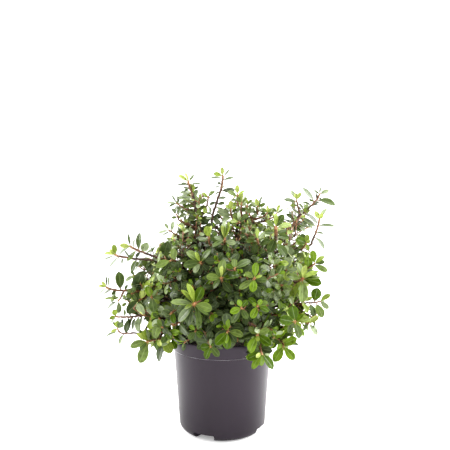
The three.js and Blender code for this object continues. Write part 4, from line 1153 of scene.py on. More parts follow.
# Round places inside it, with a radius, where the sky shows through
openSky = (
    (203, 180, 7), (222.5, 206, 4), (210, 207, 1.5), (149, 275, 2.2), (155.5, 279.5, 0.8),
    (156.5, 290, 1.2), (176, 277, 1.6), (177, 258, 1.4), (145, 325, 2.6), (171.5, 286.5, 1),
    (201, 225.5, 1), (296.5, 233.5, 2), (262, 232, 1), (283, 244, 2), (278, 246, 1.4), (293, 242, 2),
    (273, 266, 1), (264, 222, 1.6), (283, 216, 2.6), (252, 213, 1), (193.5, 232.5, 1), (242.5, 247.5, 1),
    (224.5, 253, 1), (237, 237, 1), (303, 228, 1.2), (308, 220, 2), (313, 205, 2), (298, 208, 2),
    (295.5, 213, 1.4), (285.5, 210.5, 1.4), (291, 209, 1.3), (301, 219, 1.3), (281, 219, 1.4),
)

twigSet = {
    "count": 4,
    "tries": 4,
    "angle": 48,
    "upTurn": 0.15,
    "lengthShare": 0.5,
    "longest": 0.055,
    "shortest": 0.8,
    "spread": 0.4,
    "belowTip": 0.026,
    "aboveBough": 0.008,
    "limbMargin": 0.002,
    "potMargin": 0.003,
    "reachOn": 0.015,
}

finerSet = {
    "pointGap": 0.004,
    "kink": 0.0005,
    "kinkTurn": 2.4,
    "kinkFinest": 0.6,
    "tries": 5,
    "tipRoom": {1: 0.0, 2: 0.013, 3: 0.0105},    # by level: a mass's stem, a twig, a finest shoot
    # a mass's own stem, from just inside the bough's end to past the curve's
    "stemOverlap": 0.02,
    "onwardRise": 0.1,
    "onwardParts": (0.35, 0.7, 1.0),
    "leaderShare": 0.5,
    # marked shoots
    "keyDepth": 0.01,
    "keyStarts": (10, 40),    # fortieths of the limb, from the tenth on
    "keyReach": 0.3,
    "keyBend": 0.4,
    "keyTurn": 0.6,
    "nearestMark": 0.012,
    "nearestSteps": 60,
    "bareTurn": 1.4,
    "bareSpare": 0.006,
    # more twigs between the source's, and how full a mass is where it differs from the others
    "moreTwigs": 6,
    "moreFirst": 0.3,
    "moreJitter": 0.4,
    "moreBelowTip": 0.012,
    "moreLength": (0.45, 1.0),
    "moreLonger": 1.15,
    "moreShorter": 0.5,
    "moreOn": 0.006,
    "fill": {
        "top_centre": 0.5, "top_right": 0.5, "right_high": 0.5, "crown_top": 1.3, "front_skirt": 0.6,
        "front_skirt_left": 0.6, "front_high_right": 1.4, "front_high": 1.2, "front_left": 1.3,
        "left_high": 1.2, "left_mid": 1.6, "left_low": 1.5, "left_skirt": 1.3, "back_high_right": 1.5,
        "back_high_left": 1.3, "back_right": 1.4, "back_centre": 1.3, "back_left": 1.3, "back_low_left": 1.3,
    },
    # shoots that hang from a bough's outer part, over the pot's back
    "hanging": {"back_low_left": 9, "back_low_right": 9, "back_centre": 12, "back_left": 5, "back_right": 5},
    "hangFrom": (0.35, 0.95),
    "hangLength": (0.045, 0.085),
    "hangFan": 45,
    "hangOut": (0.5, 0.55),
    "hangDown": 0.8,
    "hangMargin": 0.008,
    # the finest, on the sides of the others
    "sideGap": (0.011, 0.016),
    "sideAngle": (40, 56),
    "sideLength": (0.009, 0.026),
    "sideShare": 0.55,
    "firstSide": 0.011,
    "firstSideMarked": 0.016,
    "lastSide": {1: 0.12, 2: 0.28},
    # short ones on the outer part of the boughs
    "innerFrom": 0.4,
    "innerGap": 0.013,
    "innerSpread": (0.7, 0.6),    # the least, and what chance adds
    "innerLength": (0.022, 0.044),
    "innerAngle": 55,
    "innerMargins": (0.003, 0.006),    # clear of the boughs, clear of the pot
}


def seededNumbers(seed):
    state = seed

    def draw():
        nonlocal state
        state = (state + 0x6D2B79F5) & 0xFFFFFFFF
        t = ((state ^ (state >> 15)) * (1 | state)) & 0xFFFFFFFF
        t = ((t + (((t ^ (t >> 7)) * (61 | t)) & 0xFFFFFFFF)) ^ t) & 0xFFFFFFFF
        return (t ^ (t >> 14)) / 4294967296

    return draw


def between(pair, share):
    return pair[0] + (pair[1] - pair[0]) * share


shootTips = []


def addShoot(mass, level, points, s=finerSet):
    # kinks the line a little at each node and keeps it as a shoot
    side, draw = mass["one"]["side"], mass["draw"]
    other = (points[-1] - points[0]).normalized().cross(side)
    phase = draw() * 2 * math.pi
    kink = s["kink"] * (1 if level < 3 else s["kinkFinest"])
    line = [points[0]]
    for i, point in enumerate(points[1:]):
        turn = phase + s["kinkTurn"] * i
        line.append(point + side * kink * math.sin(turn) + other * kink * math.cos(turn))
    far = np.concatenate([[0], np.cumsum([(b - a).length for a, b in zip(line, line[1:])])])
    shoot = {"mass": mass["index"], "level": level, "points": line, "side": side, "draw": draw, "far": far,
             "length": float(far[-1]), "used": 0}
    mass["shoots"].append(shoot)
    shootTips.append(line[-1])
    return shoot


def onShoot(shoot, distance):
    far = shoot["far"]
    i = int(np.clip(np.searchsorted(far, distance) - 1, 0, len(far) - 2))
    a, b = shoot["points"][i], shoot["points"][i + 1]
    return a.lerp(b, (distance - far[i]) / (far[i + 1] - far[i])), (b - a).normalized()


def nearestOn(shoot, x, y):
    # how far along a shoot the place is that shows nearest to a pixel
    def off(distance):
        placeX, placeY = pixelOf(onShoot(shoot, distance)[0])
        return math.hypot(placeX - x, placeY - y)

    steps = finerSet["nearestSteps"]
    return min((shoot["length"] * i / steps for i in range(1, steps + 1)), key=off)


def sampled(control, length):
    count = max(3, round(length / finerSet["pointGap"]))
    return [curvePoint(control, i / count) for i in range(count + 1)]


def twigControl(start, axis, side, turn, length, angle):
    away = leaning(axis, about(axis, side, turn), math.radians(angle))
    return [start, start + away * length * 0.5, start + away * length + up * length * twigSet["upTurn"]]


def tipHasRoom(tip, level):
    room = finerSet["tipRoom"][level]
    return all((tip - other).length >= room for other in shootTips)


outlineFrom = np.array(fullOutline, float)
outlineTo = np.roll(outlineFrom, -1, axis=0)
skyRounds = np.array(openSky)


def underSky(point, spare=0.0):
    # inside the outline, counted by how often a line to the right crosses it, and clear of the open places
    x, y = pixelOf(point)
    crossing = (outlineFrom[:, 1] > y) != (outlineTo[:, 1] > y)
    a, b = outlineFrom[crossing], outlineTo[crossing]
    inside = np.count_nonzero(x < a[:, 0] + (y - a[:, 1]) / (b[:, 1] - a[:, 1]) * (b[:, 0] - a[:, 0])) % 2
    off = np.hypot(skyRounds[:, 0] - x, skyRounds[:, 1] - y)
    return bool(inside) and bool(np.all(off >= skyRounds[:, 2] + spare))


def inReach(point, spare=0.006):
    low, high = cadBox
    return all(a - spare < value < b + spare for a, value, b in zip(low, point, high))


def fits(index, point, level):
    if not inOwnSpace(index, point) or not tipHasRoom(point, level) or not underSky(point):
        return False
    return clearOfBoughs(point, twigSet["limbMargin"]) and clearOfPot(point, twigSet["potMargin"])


def growFrom(mass, level, start, axis, turn, length):
    # a side shoot, or the next turn of the golden angle where its tip has no room
    angle = between(finerSet["sideAngle"], mass["draw"]())
    for attempt in range(finerSet["tries"]):
        nextTurn = turn + math.radians(goldenAngle) * attempt
        control = twigControl(start, axis, mass["one"]["side"], nextTurn, length, angle)
        if fits(mass["index"], control[-1], level):
            return addShoot(mass, level, sampled(control, length))
    return None


def throughPoints(points):
    # a smooth line through the points, in steps of one length
    line = [points[0] * 2 - points[1]] + points + [points[-1] * 2 - points[-2]]
    placed = [points[0]]
    for a, b, c, d in zip(line, line[1:], line[2:], line[3:]):
        steps = max(1, round((c - b).length / finerSet["pointGap"]))
        for i in range(1, steps + 1):
            t = i / steps
            placed.append(0.5 * (2 * b + (c - a) * t + (2 * a - 5 * b + 4 * c - d) * t * t
                                 + (3 * b - a - 3 * c + d) * t * t * t))
    return placed


def keyLine(one, row, starts, s=finerSet):
    # from the place on the limb that turns into it best, through the marked pixels
    tipDepth = one["control"][-1].y - s["keyDepth"] - row.get("ahead", 0)
    count, best = len(row["through"]), None
    for t in starts:
        start, axis = onCurve(one["control"], t)
        marks = [onPixel(pixel, start.y + (tipDepth - start.y) * (i + 1) / count)
                 for i, pixel in enumerate(row["through"])]
        while len(starts) == 1 and len(marks) > 1 and (marks[0] - start).dot(axis) < s["nearestMark"]:
            marks.pop(0)
        away = marks[0] - start
        if away.length < s["nearestMark"]:
            continue
        cost = away.length * (s["bareTurn"] - away.normalized().dot(axis))
        if best is None or cost < best[0]:
            best = (cost, start, axis, marks)
    start, axis, marks = best[1:]
    away = marks[0] - start
    reach = away.length * s["keyReach"]
    if count > 1:
        turned = (away.normalized() + axis * s["keyTurn"]).normalized()
        return throughPoints([start, start + turned * reach] + marks)
    turned = (away.normalized() + axis).normalized()
    finish = ((marks[-1] - crownCentre).normalized() + up * limbSet["upTurn"]).normalized()
    bend = start + turned * away.length * s["keyBend"]
    return sampled([start, bend, marks[0] - finish * reach, marks[0]], away.length)


def sourceTwigs(mass, draw):
    one, s = mass["one"], twigSet
    first = draw() * 360
    highest = 1 - s["belowTip"] / one["length"]
    lowest = one["end"] + s["aboveBough"] / one["length"]
    full = min(s["longest"], one["length"] * (1 - one["end"]) * s["lengthShare"])
    for i in range(s["count"]):
        t = highest + (lowest - highest) * i / (s["count"] - 1)
        reach = full * (s["shortest"] + s["spread"] * draw())
        start, axis = onCurve(one["control"], t)
        for attempt in range(s["tries"]):
            turn = math.radians(first + goldenAngle * (i + attempt))
            control = twigControl(start, axis, one["side"], turn, reach, s["angle"])
            if fits(mass["index"], control[-1], 2):
                further = reach + s["reachOn"]
                control = twigControl(start, axis, one["side"], turn, further, s["angle"])
                addShoot(mass, 2, sampled(control, further))
                break
    return first, lowest, full


def stemLine(one, s=finerSet):
    count = round(one["length"] * (1 - one["end"]) / s["pointGap"])
    first, span = one["end"] - s["stemOverlap"], 1 + s["stemOverlap"] - one["end"]
    points = [curvePoint(one["control"], first + span * i / count) for i in range(count + 1)]
    tip, axis = onCurve(one["control"], 1)
    onward = (axis + up * s["onwardRise"]).normalized()
    points += [tip + onward * twigSet["reachOn"] * part for part in s["onwardParts"]]
    return points[:round(count * s["leaderShare"])] if "leader" in one else points


def growKeyShoot(mass, row, s=finerSet):
    # bare of unmarked leaves down to its lowest marked one
    first, last = s["keyStarts"]
    if "stem" in row:
        level, starts = 1, [mass["one"]["end"] - s["stemOverlap"]]
    else:
        level, starts = 2, [i / last for i in range(first, last)]
    shoot = addShoot(mass, level, keyLine(mass["one"], row, starts))
    shoot.update(key=True, marked=row.get("leaves", ()), size=row.get("size", 1), thick=row.get("thick", 1))
    bases = [nearestOn(shoot, leaf[0], leaf[1]) for leaf in shoot["marked"]]
    shoot["bare"] = shoot["length"] - min(bases) + s["bareSpare"] if bases else 0


def growMore(mass, first, lowest, full, s=finerSet):
    # more twigs between the source's, shorter towards the tip
    one, draw = mass["one"], mass["draw"]
    count = round(s["moreTwigs"] * s["fill"].get(names[mass["index"]], 1))
    highest = 1 - s["moreBelowTip"] / one["length"]
    for i in range(count):
        t = lowest + (highest - lowest) * (i + s["moreFirst"] + s["moreJitter"] * draw()) / count
        length = full * between(s["moreLength"], draw()) * (s["moreLonger"] - s["moreShorter"] * i / count)
        turn = math.radians(first + goldenAngle * (twigSet["count"] + i))
        growFrom(mass, 2, *onCurve(one["control"], t), turn, length + s["moreOn"])


def growHanging(mass, s=finerSet):
    one, draw = mass["one"], mass["draw"]
    count = s["hanging"].get(names[mass["index"]], 0)
    for i in range(count):
        start = curvePoint(one["control"], between(s["hangFrom"], (i + draw()) / count))
        out = outward(one["heading"] + s["hangFan"] * (2 * draw() - 1))
        length = between(s["hangLength"], draw())
        middle, end = (start + out * length * share for share in s["hangOut"])
        end -= up * length * s["hangDown"]
        if clearOfPot(end, s["hangMargin"]) and inReach(end) and underSky(end):
            addShoot(mass, 2, sampled([start, middle, end], length))


def growFinest(mass, s=finerSet):
    # the finest shoots, shorter towards each tip
    draw = mass["draw"]
    for shoot in list(mass["shoots"]):
        firstSide = s["firstSideMarked"] if shoot.get("key") else s["firstSide"]
        distance = shoot["length"] - max(shoot.get("bare", 0), firstSide)
        turn = draw() * 2 * math.pi
        while distance > shoot["length"] * s["lastSide"][shoot["level"]]:
            shortest, longest = s["sideLength"]
            toTip = shoot["length"] - distance
            length = min(longest, shortest + toTip * s["sideShare"] * draw())
            side = growFrom(mass, 3, *onShoot(shoot, distance), turn, length)
            if side:
                shoot.setdefault("sides", []).append((distance, side))
            turn += math.radians(goldenAngle)
            distance -= between(s["sideGap"], draw())


def growMass(index):
    one = laid[index]
    mass = {"index": index, "one": one, "shoots": [], "draw": seededNumbers(seedSet["finer"] + index)}
    rows = keyShoots.get(names[index], [])
    for row in rows:
        growKeyShoot(mass, row)
    if not any("stem" in row for row in rows):
        addShoot(mass, 1, stemLine(one))
    first, lowest, full = sourceTwigs(mass, seededNumbers(seedSet["first"] + seedSet["step"] * index))
    growMore(mass, first, lowest, full)
    growHanging(mass)
    growFinest(mass)
    return mass


def growInner(mass, s=finerSet):
    # short leafy shoots on the outer part of the bough
    one, draw = mass["one"], mass["draw"]
    inner = {"index": mass["index"], "one": one, "shoots": [], "draw": draw}
    along = one["length"] * one["end"] * s["innerFrom"]
    turn = draw() * 2 * math.pi
    limbMargin, potMargin = s["innerMargins"]
    while along < one["length"] * one["end"]:
        start, axis = onCurve(one["control"], along / one["length"])
        length = between(s["innerLength"], draw())
        control = twigControl(start, axis, one["side"], turn, length, s["innerAngle"])
        if clearOfBoughs(control[-1], limbMargin) and clearOfPot(control[-1], potMargin):
            addShoot(inner, 2, sampled(control, length))
        turn += math.radians(goldenAngle)
        along += s["innerGap"] * (s["innerSpread"][0] + s["innerSpread"][1] * draw())
    return inner["shoots"]


masses = [growMass(index) for index in range(len(laid))]
shoots = [shoot for mass in masses for shoot in mass["shoots"]]
for mass in masses:
    shoots += growInner(mass)
print("shoots grown:", len(shoots))


# Twigs: every shoot as a thin closed tube

tubeSet = {
    "sides": {1: 6, 2: 5, 3: 5},
    "radii": {1: (0.0018, 0.0011), 2: (0.0015, 0.0009), 3: (0.001, 0.0007)},    # at the foot and at the tip
    "keyRadii": (0.0027, 0.0015),
    "taper": 1.2,
    "swell": 0.09,
    "swellTurn": 2.1,
    "endRadius": 0.00003,
    "rootShare": 0.02,
    "bluntness": 1.3,
    "tipLength": 0.007,
    "redLength": 0.03,
}


def frameRings(points, radii, sides, side):
    places = np.array(points)
    axes = np.gradient(places, axis=0)
    axes /= np.linalg.norm(axes, axis=1)[:, None]
    across = np.array(side)[None] - axes * (axes @ np.array(side))[:, None]
    across /= np.linalg.norm(across, axis=1)[:, None]
    other = np.cross(axes, across)
    turns = 2 * math.pi * np.arange(sides) / sides
    spokes = across[:, None] * np.cos(turns)[None, :, None] + other[:, None] * np.sin(turns)[None, :, None]
    return places[:, None] + spokes * np.asarray(radii)[:, None, None]


def tubeFaces(rings, sides):
    ring = np.arange(rings - 1)[:, None] * sides
    one = ring + np.arange(sides)[None]
    two = ring + (np.arange(sides)[None] + 1) % sides
    return np.stack([one, two, two + sides, one + sides], -1).reshape(-1, 4)


def usedLength(shoot):
    # as far as its last leaf or its last side shoot that has leaves
    if shoot.get("marked"):
        return shoot["length"]
    used = shoot["used"]
    for distance, side in shoot.get("sides", ()):
        if usedLength(side):
            used = max(used, distance)
    return used


def makeTwigs(shoots, materials, s):
    corners, faces, slots, count = [], [], [], 0
    for shoot in shoots:
        level, sides, isKey = shoot["level"], s["sides"][shoot["level"]], shoot.get("key")
        used = usedLength(shoot)
        if used < finerSet["pointGap"]:
            continue
        last = min(len(shoot["points"]) - 1, int(np.searchsorted(shoot["far"], used)))
        points = shoot["points"][:last] + [onShoot(shoot, used)[0]]
        far = np.append(shoot["far"][:last], used)
        thick, thin = s["keyRadii"] if isKey and level == 2 else s["radii"][level]
        if level == 1:
            thick = limbRadius(laid[shoot["mass"]], laid[shoot["mass"]]["end"])
            thin = s["keyRadii"][1] if isKey else thin
        thin *= shoot.get("thick", 1)
        radii = thin + (max(thin, thick) - thin) * (1 - far / shoot["length"]) ** s["taper"]
        radii = radii * (1 + s["swell"] * np.cos(np.arange(len(radii)) * s["swellTurn"] + shoot["mass"]))
        points = [points[0] - (points[1] - points[0]) * s["rootShare"]] + points
        points.append(points[-1] + (points[-1] - points[-2]).normalized() * radii[-1] * s["bluntness"])
        radii = np.concatenate([[s["endRadius"]], radii, [s["endRadius"]]])
        corners.append(frameRings(points, radii, sides, shoot["side"]).reshape(-1, 3))
        faces.append(tubeFaces(len(points), sides) + count)
        count += len(points) * sides
        fromTip = used - np.concatenate([[0], far])
        kind = np.where(fromTip < s["tipLength"], 2, np.where(fromTip < s["redLength"], 1, 0))
        slots.append(np.repeat(kind, sides))
    return meshFromArrays("twigs", corners, faces, slots, materials)


foliageNodes = ["foliage_" + name for name in names]


# Leaves: small glossy blades in spirals, each tone joined into its own pieces

leafSet = {
    "length": 0.0245,
    "spread": 0.18,
    "smallerUp": 2.2,
    "widthShare": {"young": 0.44, "old": 0.52},
    "most": {1: 22, 2: 16, 3: 9},
    "levelSize": {1: 1, 2: 0.98, 3: 0.88},
    "vigour": (0.86, 0.24),    # the least, and what chance adds
    "first": 0.0004,
    "firstMarked": 4,
    "lastShare": 0.86,
    "tipGap": 0.0011,
    "lowGap": 0.0045,
    "gapSteps": 7,
    "gapSpread": (0.7, 0.6),
    "turnSpread": 8,
    "growth": (0.44, 0.5, 0.6, 0.76, 0.9, 1.0),
    "smallFrom": 9,
    "smallShare": 0.86,
    "angles": (12, 20, 34, 48, 58, 66, 71, 75),
    "angleSpread": 9,
    "keepOld": ((0.016, 1), (0.034, 0.8), (1, 0.6)),    # distance from the tip, share of leaves kept
    "sky": (0.8, 0.7),    # up, and away from the crown's middle
    "towardsLight": 0.5,
    "lightSteps": 4,
    "marks": (0.5, 0.75, 1),    # places along a leaf that have to be free
    "limbMargin": 0.0012,
    "potMargin": 0.0015,
    "crossing": 0.0026,
    "skySpare": 1.0,
    "perPiece": 1900,
    # share of the length, share of the half width, depth of the stalk and the midrib below
    "stations": (
        (0, 0.14, 0.045), (0.1, 0.13, 0.045), (0.22, 0.44, 0.022), (0.4, 0.85, 0.018), (0.6, 1, 0.018),
        (0.78, 0.92, 0.015), (0.92, 0.58, 0.01), (1, 0.1, 0),
    ),
    "columns": (-1, -0.8, -0.07, 0.07, 0.8, 1),
    "columnsBelow": (1, 0, -1),
}

# How a blade is folded along its midrib, arched across, bent down and twisted, in young and in old leaves
leafForms = {
    "young": ((0.48, 0.05, 0.02, 0.0), (0.56, 0.08, -0.06, 0.06)),
    "old": (
        (0.32, 0.2, 0.1, 0.04), (0.42, 0.24, 0.16, -0.06), (0.2, 0.24, 0.05, 0.02), (0.38, 0.14, 0.2, 0.1),
    ),
}

# Besides the leaves' own colours, the darker kinds also serve as painted shade and "pale" as a painted sheen
leafKinds = {
    "lime": {"colour": (0.35, 0.42, 0.1), "form": "young", "shine": 0.2},
    "fresh": {"colour": (0.185, 0.25, 0.034), "form": "old", "shine": 0.14},
    "bright": {"colour": (0.107, 0.18, 0.01), "form": "old", "shine": 0.08},
    "green": {"colour": (0.098, 0.143, 0.027), "form": "old", "shine": 0.17},
    "pale": {"colour": (0.19, 0.24, 0.115), "form": "old", "shine": 0.3},
    "moss": {"colour": (0.04, 0.077, 0.002), "form": "old", "shine": 0.06},
    "deep": {"colour": (0.056, 0.087, 0.019), "form": "old", "shine": 0.13},
    "shade": {"colour": (0.034, 0.052, 0.015), "form": "old", "shine": 0.12},
}


def leafShape(age, form, s=leafSet):
    # the corners for a leaf one metre long, its faces and the material slot of each
    fold, arch, bend, twist = form
    blade, rib, underside, stalk, margin = range(5)
    half = s["widthShare"][age] / 2
    corners, faces, slots = [], [], []
    for columns, isTop in ((s["columns"], True), (s["columnsBelow"], False)):
        first = len(corners)
        for along, share, depth in s["stations"]:
            width = half * share
            for u in columns:
                y = u * width
                z = fold * abs(u) * width - arch * u * u * width - bend * along * along
                z -= depth if not isTop and u == 0 else 0
                corners.append((along, y, z + twist * y * along / half * 0.5))
        for row, column in itertools.product(range(len(s["stations"]) - 1), range(len(columns) - 1)):
            a = first + row * len(columns) + column
            b = a + len(columns)
            faces.append((a, b, b + 1, a + 1))
            if row == 0 or (row == 1 and isTop and column == 2):
                slots.append(stalk)
            elif not isTop:
                slots.append(underside)
            elif column in (0, 4):
                slots.append(margin)
            else:
                slots.append(rib if column == 2 and row < 6 else blade)
    return np.array(corners), np.array(faces), np.array(slots)


# Which tone a leaf gets: a young one at a tip, and by place painted light and shade: lighter and pale tones
# at the flanks, the top and the right as painted light and painted sheen, darker ones further in, low in the
# skirt and on the left as painted shade
toneSet = {
    "crownRadius": 0.2,
    "skirtTop": 0.03,    # over the crown's middle; the skirt below is more saturated
    "skirtDepth": 0.1,
    "outerFlank": 0.55,
    "youngFront": 1.3,
    "youngOuter": 2.6,
    "youngShare": 0.45,
    "byShare": 0.3,
    "byFlank": 2.1,
    "byYouth": 0.3,
    "darker": 0.45,
    "skirtDarker": 0.2,
    "byRight": 2.9,
    "byLeft": -1.7,
    "chance": 0.4,
    "paleFrom": 0.75,
    "paleShare": 0.5,
    "paleSkirt": 0.3,
    "freshFrom": 1.0,
    "freshLeaves": 11,
    "greenFrom": 0.78,
    "deepFrom": 0.58,
    "brightSkirt": 0.7,
    "saturatedSkirt": 0.6,
}


def kindOf(shoot, order, place, s=toneSet):
    off, radius, youth = place - crownCentre, s["crownRadius"], shoot["youth"]
    share = math.sqrt((off.x / radius) ** 2 + (off.y / radius) ** 2 + (off.z / radius) ** 2)
    flank = math.hypot(place.x, place.z - crownCentre.z) / radius
    low = min(1, max(0, crownCentre.z + s["skirtTop"] - place.z) / s["skirtDepth"])
    outer = flank > s["outerFlank"] or place.y > 0
    if shoot["level"] < 3:
        young = 1 + (s["youngOuter"] if outer else s["youngFront"]) * youth
    else:
        young = s["youngFront"] * youth
    if order < young and share > s["youngShare"]:
        return "lime" if outer else "bright"
    # light scores painted light and shade by place: more at the flanks, outside and on the right, less
    # inside, low and on the left
    light = s["byShare"] * share + s["byFlank"] * flank ** 1.5 + s["byYouth"] * youth
    light = light - s["darker"] - s["skirtDarker"] * low
    aside = (s["byRight"] if place.x > 0 else s["byLeft"]) * place.x
    light += aside + s["chance"] * (shoot["draw"]() - 0.5)
    glossy = shoot["draw"]()
    if light > s["paleFrom"] and glossy < s["paleShare"] - s["paleShare"] * place.x - s["paleSkirt"] * low:
        return "pale"
    if light > s["freshFrom"] and order < s["freshLeaves"]:
        return "bright" if glossy < s["brightSkirt"] * low else "fresh"
    saturated = glossy > 1 - s["saturatedSkirt"] * low
    if light > s["greenFrom"]:
        return "bright" if saturated else "green"
    if light > s["deepFrom"]:
        return "moss" if saturated else "deep"
    return "shade"


crossingCells = {}


def cellOf(point):
    return tuple(int(math.floor(value / leafSet["crossing"])) for value in point)


def keepMarks(number, marks):
    for mark in marks:
        crossingCells.setdefault(cellOf(mark), []).append((number, mark))


def standsFree(number, marks):
    # away from the leaves of other shoots
    for mark in marks:
        x, y, z = cellOf(mark)
        for dx, dy, dz in itertools.product((-1, 0, 1), repeat=3):
            for owner, other in crossingCells.get((x + dx, y + dy, z + dz), ()):
                if owner != number and (other - mark).length < leafSet["crossing"]:
                    return False
    return True


# How marked leaves are laid, and how far around them no other leaf may stand before them, in pixels
markSet = {
    "depthSpread": 0.003,
    "depthTurn": 2.4,
    "mostLean": 0.9,
    "formStep": 0.37,
    "spotShare": 0.62,
    "spotReach": (0.26, 1.2),    # share of the leaf's length, and what comes on top
    "rosetteReach": 4.5,
    "stemReach": 1.7,
    "stemFrom": 0.4,
    "before": 0.002,
}
markedSpots = []    # pixel, depth and reach of each place that has to stay in view


def markSpot(place, reach):
    markedSpots.append((*pixelOf(place), place.y, reach))


def hidesMarked(point):
    x, y = pixelOf(point)
    nearer = markedSpots[:, 2] > point.y + markSet["before"]
    off = np.hypot(markedSpots[:, 0] - x, markedSpots[:, 1] - y)
    return bool(np.any(nearer & (off < markedSpots[:, 3])))


def placeMarked(leaves, number, shoot, index, leaf, s=markSet):
    # a leaf whose base, tip and width the photo shows: it is turned about its length until it shows as wide
    baseX, baseY, tipX, tipY, width, tone = leaf
    base = onShoot(shoot, nearestOn(shoot, baseX, baseY))[0]
    depth = base.y + s["depthSpread"] * math.sin(index * s["depthTurn"])
    tip = onPixel((tipX, tipY), depth)
    kind = next(kind for kind in leafKinds if kind[0] == tone)
    share = leafSet["widthShare"][leafKinds[kind]["form"]]
    long = math.hypot(tipX - baseX, tipY - baseY)
    if width > share * long:    # seen short, so it leans to the front
        lean = math.sqrt((width / share) ** 2 - long * long) / long
        tip = onPixel((tipX, tipY), depth - min(s["mostLean"], lean) * (tip - base).length)
    along = (tip - base).normalized()
    viewer = cameraPlace - base
    viewer = (viewer - along * viewer.dot(along)).normalized()
    side = along.cross(viewer)
    if side.z < 0:
        side = -side
    turn = math.acos(min(1, width / (share * long)))
    face = viewer * math.cos(turn) + side * math.sin(turn)
    form = (index * s["formStep"]) % 1
    forms = leafForms[leafKinds[kind]["form"]]
    bend = forms[int(form * len(forms))][2]    # the tip bends back onto its mark
    length = (tip - base).length / math.hypot(1, bend)
    along, face = (along + face * bend).normalized(), (face - along * bend).normalized()
    leaves[kind].append((base, along, face.cross(along), face, length, form))
    markSpot(base.lerp(tip, s["spotShare"]), long * s["spotReach"][0] + s["spotReach"][1])
    keepMarks(number, [base.lerp(tip, part) for part in leafSet["marks"]])


def placeMarkedShoot(leaves, number, shoot, s=markSet):
    if not shoot.get("marked"):
        return
    points = shoot["points"]
    markSpot(points[-1], s["rosetteReach"])
    for point in points[int(len(points) * s["stemFrom"])::2]:
        markSpot(point, s["stemReach"])
    for index, leaf in enumerate(shoot["marked"]):
        placeMarked(leaves, number, shoot, index, leaf)


def leafFits(number, shoot, marks, s=leafSet):
    seen = marks[:2] if shoot.get("key") else marks
    return (all(clearOfPot(mark, s["potMargin"]) and inReach(mark) for mark in marks)
            and all(clearOfBoughs(mark, s["limbMargin"]) for mark in marks[:2])
            and all(underSky(mark, s["skySpare"]) for mark in seen)
            and not any(hidesMarked(mark) for mark in marks[:2])
            and standsFree(number, marks))


def growLeaves(leaves, number, shoot, s=leafSet):
    # the spiral, down from the tip or from below the lowest marked leaf
    draw = shoot["draw"]
    shoot["youth"] = draw()
    vigour = s["vigour"][0] + s["vigour"][1] * draw()
    vigour *= s["levelSize"][shoot["level"]]
    vigour *= shoot.get("size", 1)
    vigour *= 1 - s["smallerUp"] * max(0, shoot["points"][-1].z - crownCentre.z)
    turn = draw() * 2 * math.pi
    below = max(s["first"], shoot.get("bare", 0))
    for order in range(s["firstMarked"] if shoot.get("marked") else 0, s["most"][shoot["level"]]):
        if below > shoot["length"] * s["lastShare"]:
            break
        atBelow = below
        point, axis = onShoot(shoot, shoot["length"] - below)
        out = about(axis, shoot["side"], turn)
        angle = s["angles"][min(order, len(s["angles"]) - 1)]
        slope = math.radians(angle + s["angleSpread"] * (2 * draw() - 1))
        along = leaning(axis, out, slope)
        face = leaning(-out, axis, slope)
        sky = (up * s["sky"][0] + (point - crownCentre).normalized() * s["sky"][1]).normalized()
        sunward = (sky - along * sky.dot(along)) * s["towardsLight"] * draw()
        face = (face + sunward * min(1, order / s["lightSteps"])).normalized()
        length = s["length"] * vigour * s["growth"][min(order, len(s["growth"]) - 1)]
        length *= 1 + s["spread"] * (2 * draw() - 1)
        length *= 1 if order < s["smallFrom"] else s["smallShare"]
        marks = [point + along * length * share for share in s["marks"]]
        turn += math.radians(goldenAngle + s["turnSpread"] * (draw() - 0.5))
        chance = s["gapSpread"][0] + s["gapSpread"][1] * draw()
        below += s["tipGap"] + (s["lowGap"] - s["tipGap"]) * min(1, order / s["gapSteps"]) * chance
        if draw() > next(kept for reach, kept in s["keepOld"] if below < reach):
            continue
        if leafFits(number, shoot, marks):
            keepMarks(number, marks)
            kind = kindOf(shoot, order, point)
            leaves[kind].append((point, along, face.cross(along), face, length, draw()))
            shoot["used"] = max(shoot["used"], shoot["length"] - atBelow)


def leafMaterials():
    # blade, rib, underside, stalk and margin of each kind
    stalk = newMaterial("redStalk", (0.36, 0.12, 0.04), 0.5)
    colourBy(stalk, objectNoise(stalk, 60, 3), (0.3, 0.07, 0.03), (0.42, 0.24, 0.07))
    made = {}
    for kind, s in leafKinds.items():
        red, green, blue = s["colour"]
        blade = newMaterial(kind + "Blade", s["colour"], 0.3, Specular_IOR_Level=s["shine"])
        mottle = objectNoise(blade, 150, 3)
        colourBy(blade, mottle, shaded(s["colour"], 0.6), shaded(s["colour"], 1.34))
        roughnessBy(blade, mottle, 0.2, 0.4)
        bumpBy(blade, objectNoise(blade, 1400, 2), 0.18, 0.0004)
        rib = newMaterial(kind + "Rib", (red * 1.2 + 0.02, green * 1.2 + 0.025, blue + 0.008), 0.4)
        pale = tuple(0.65 * value + 0.35 * grey for value, grey in zip(s["colour"], (0.2, 0.26, 0.1)))
        under = newMaterial(kind + "Underside", pale, 0.55)
        colourBy(under, objectNoise(under, 150, 3), shaded(pale, 0.85), shaded(pale, 1.15))
        edge = (red * 1.3 + 0.008, green * 1.3 + 0.01, blue * 1.1 + 0.001)
        margin = newMaterial(kind + "Margin", edge, 0.4, Specular_IOR_Level=s["shine"])
        made[kind] = [blade, rib, under, stalk, margin]
    return made


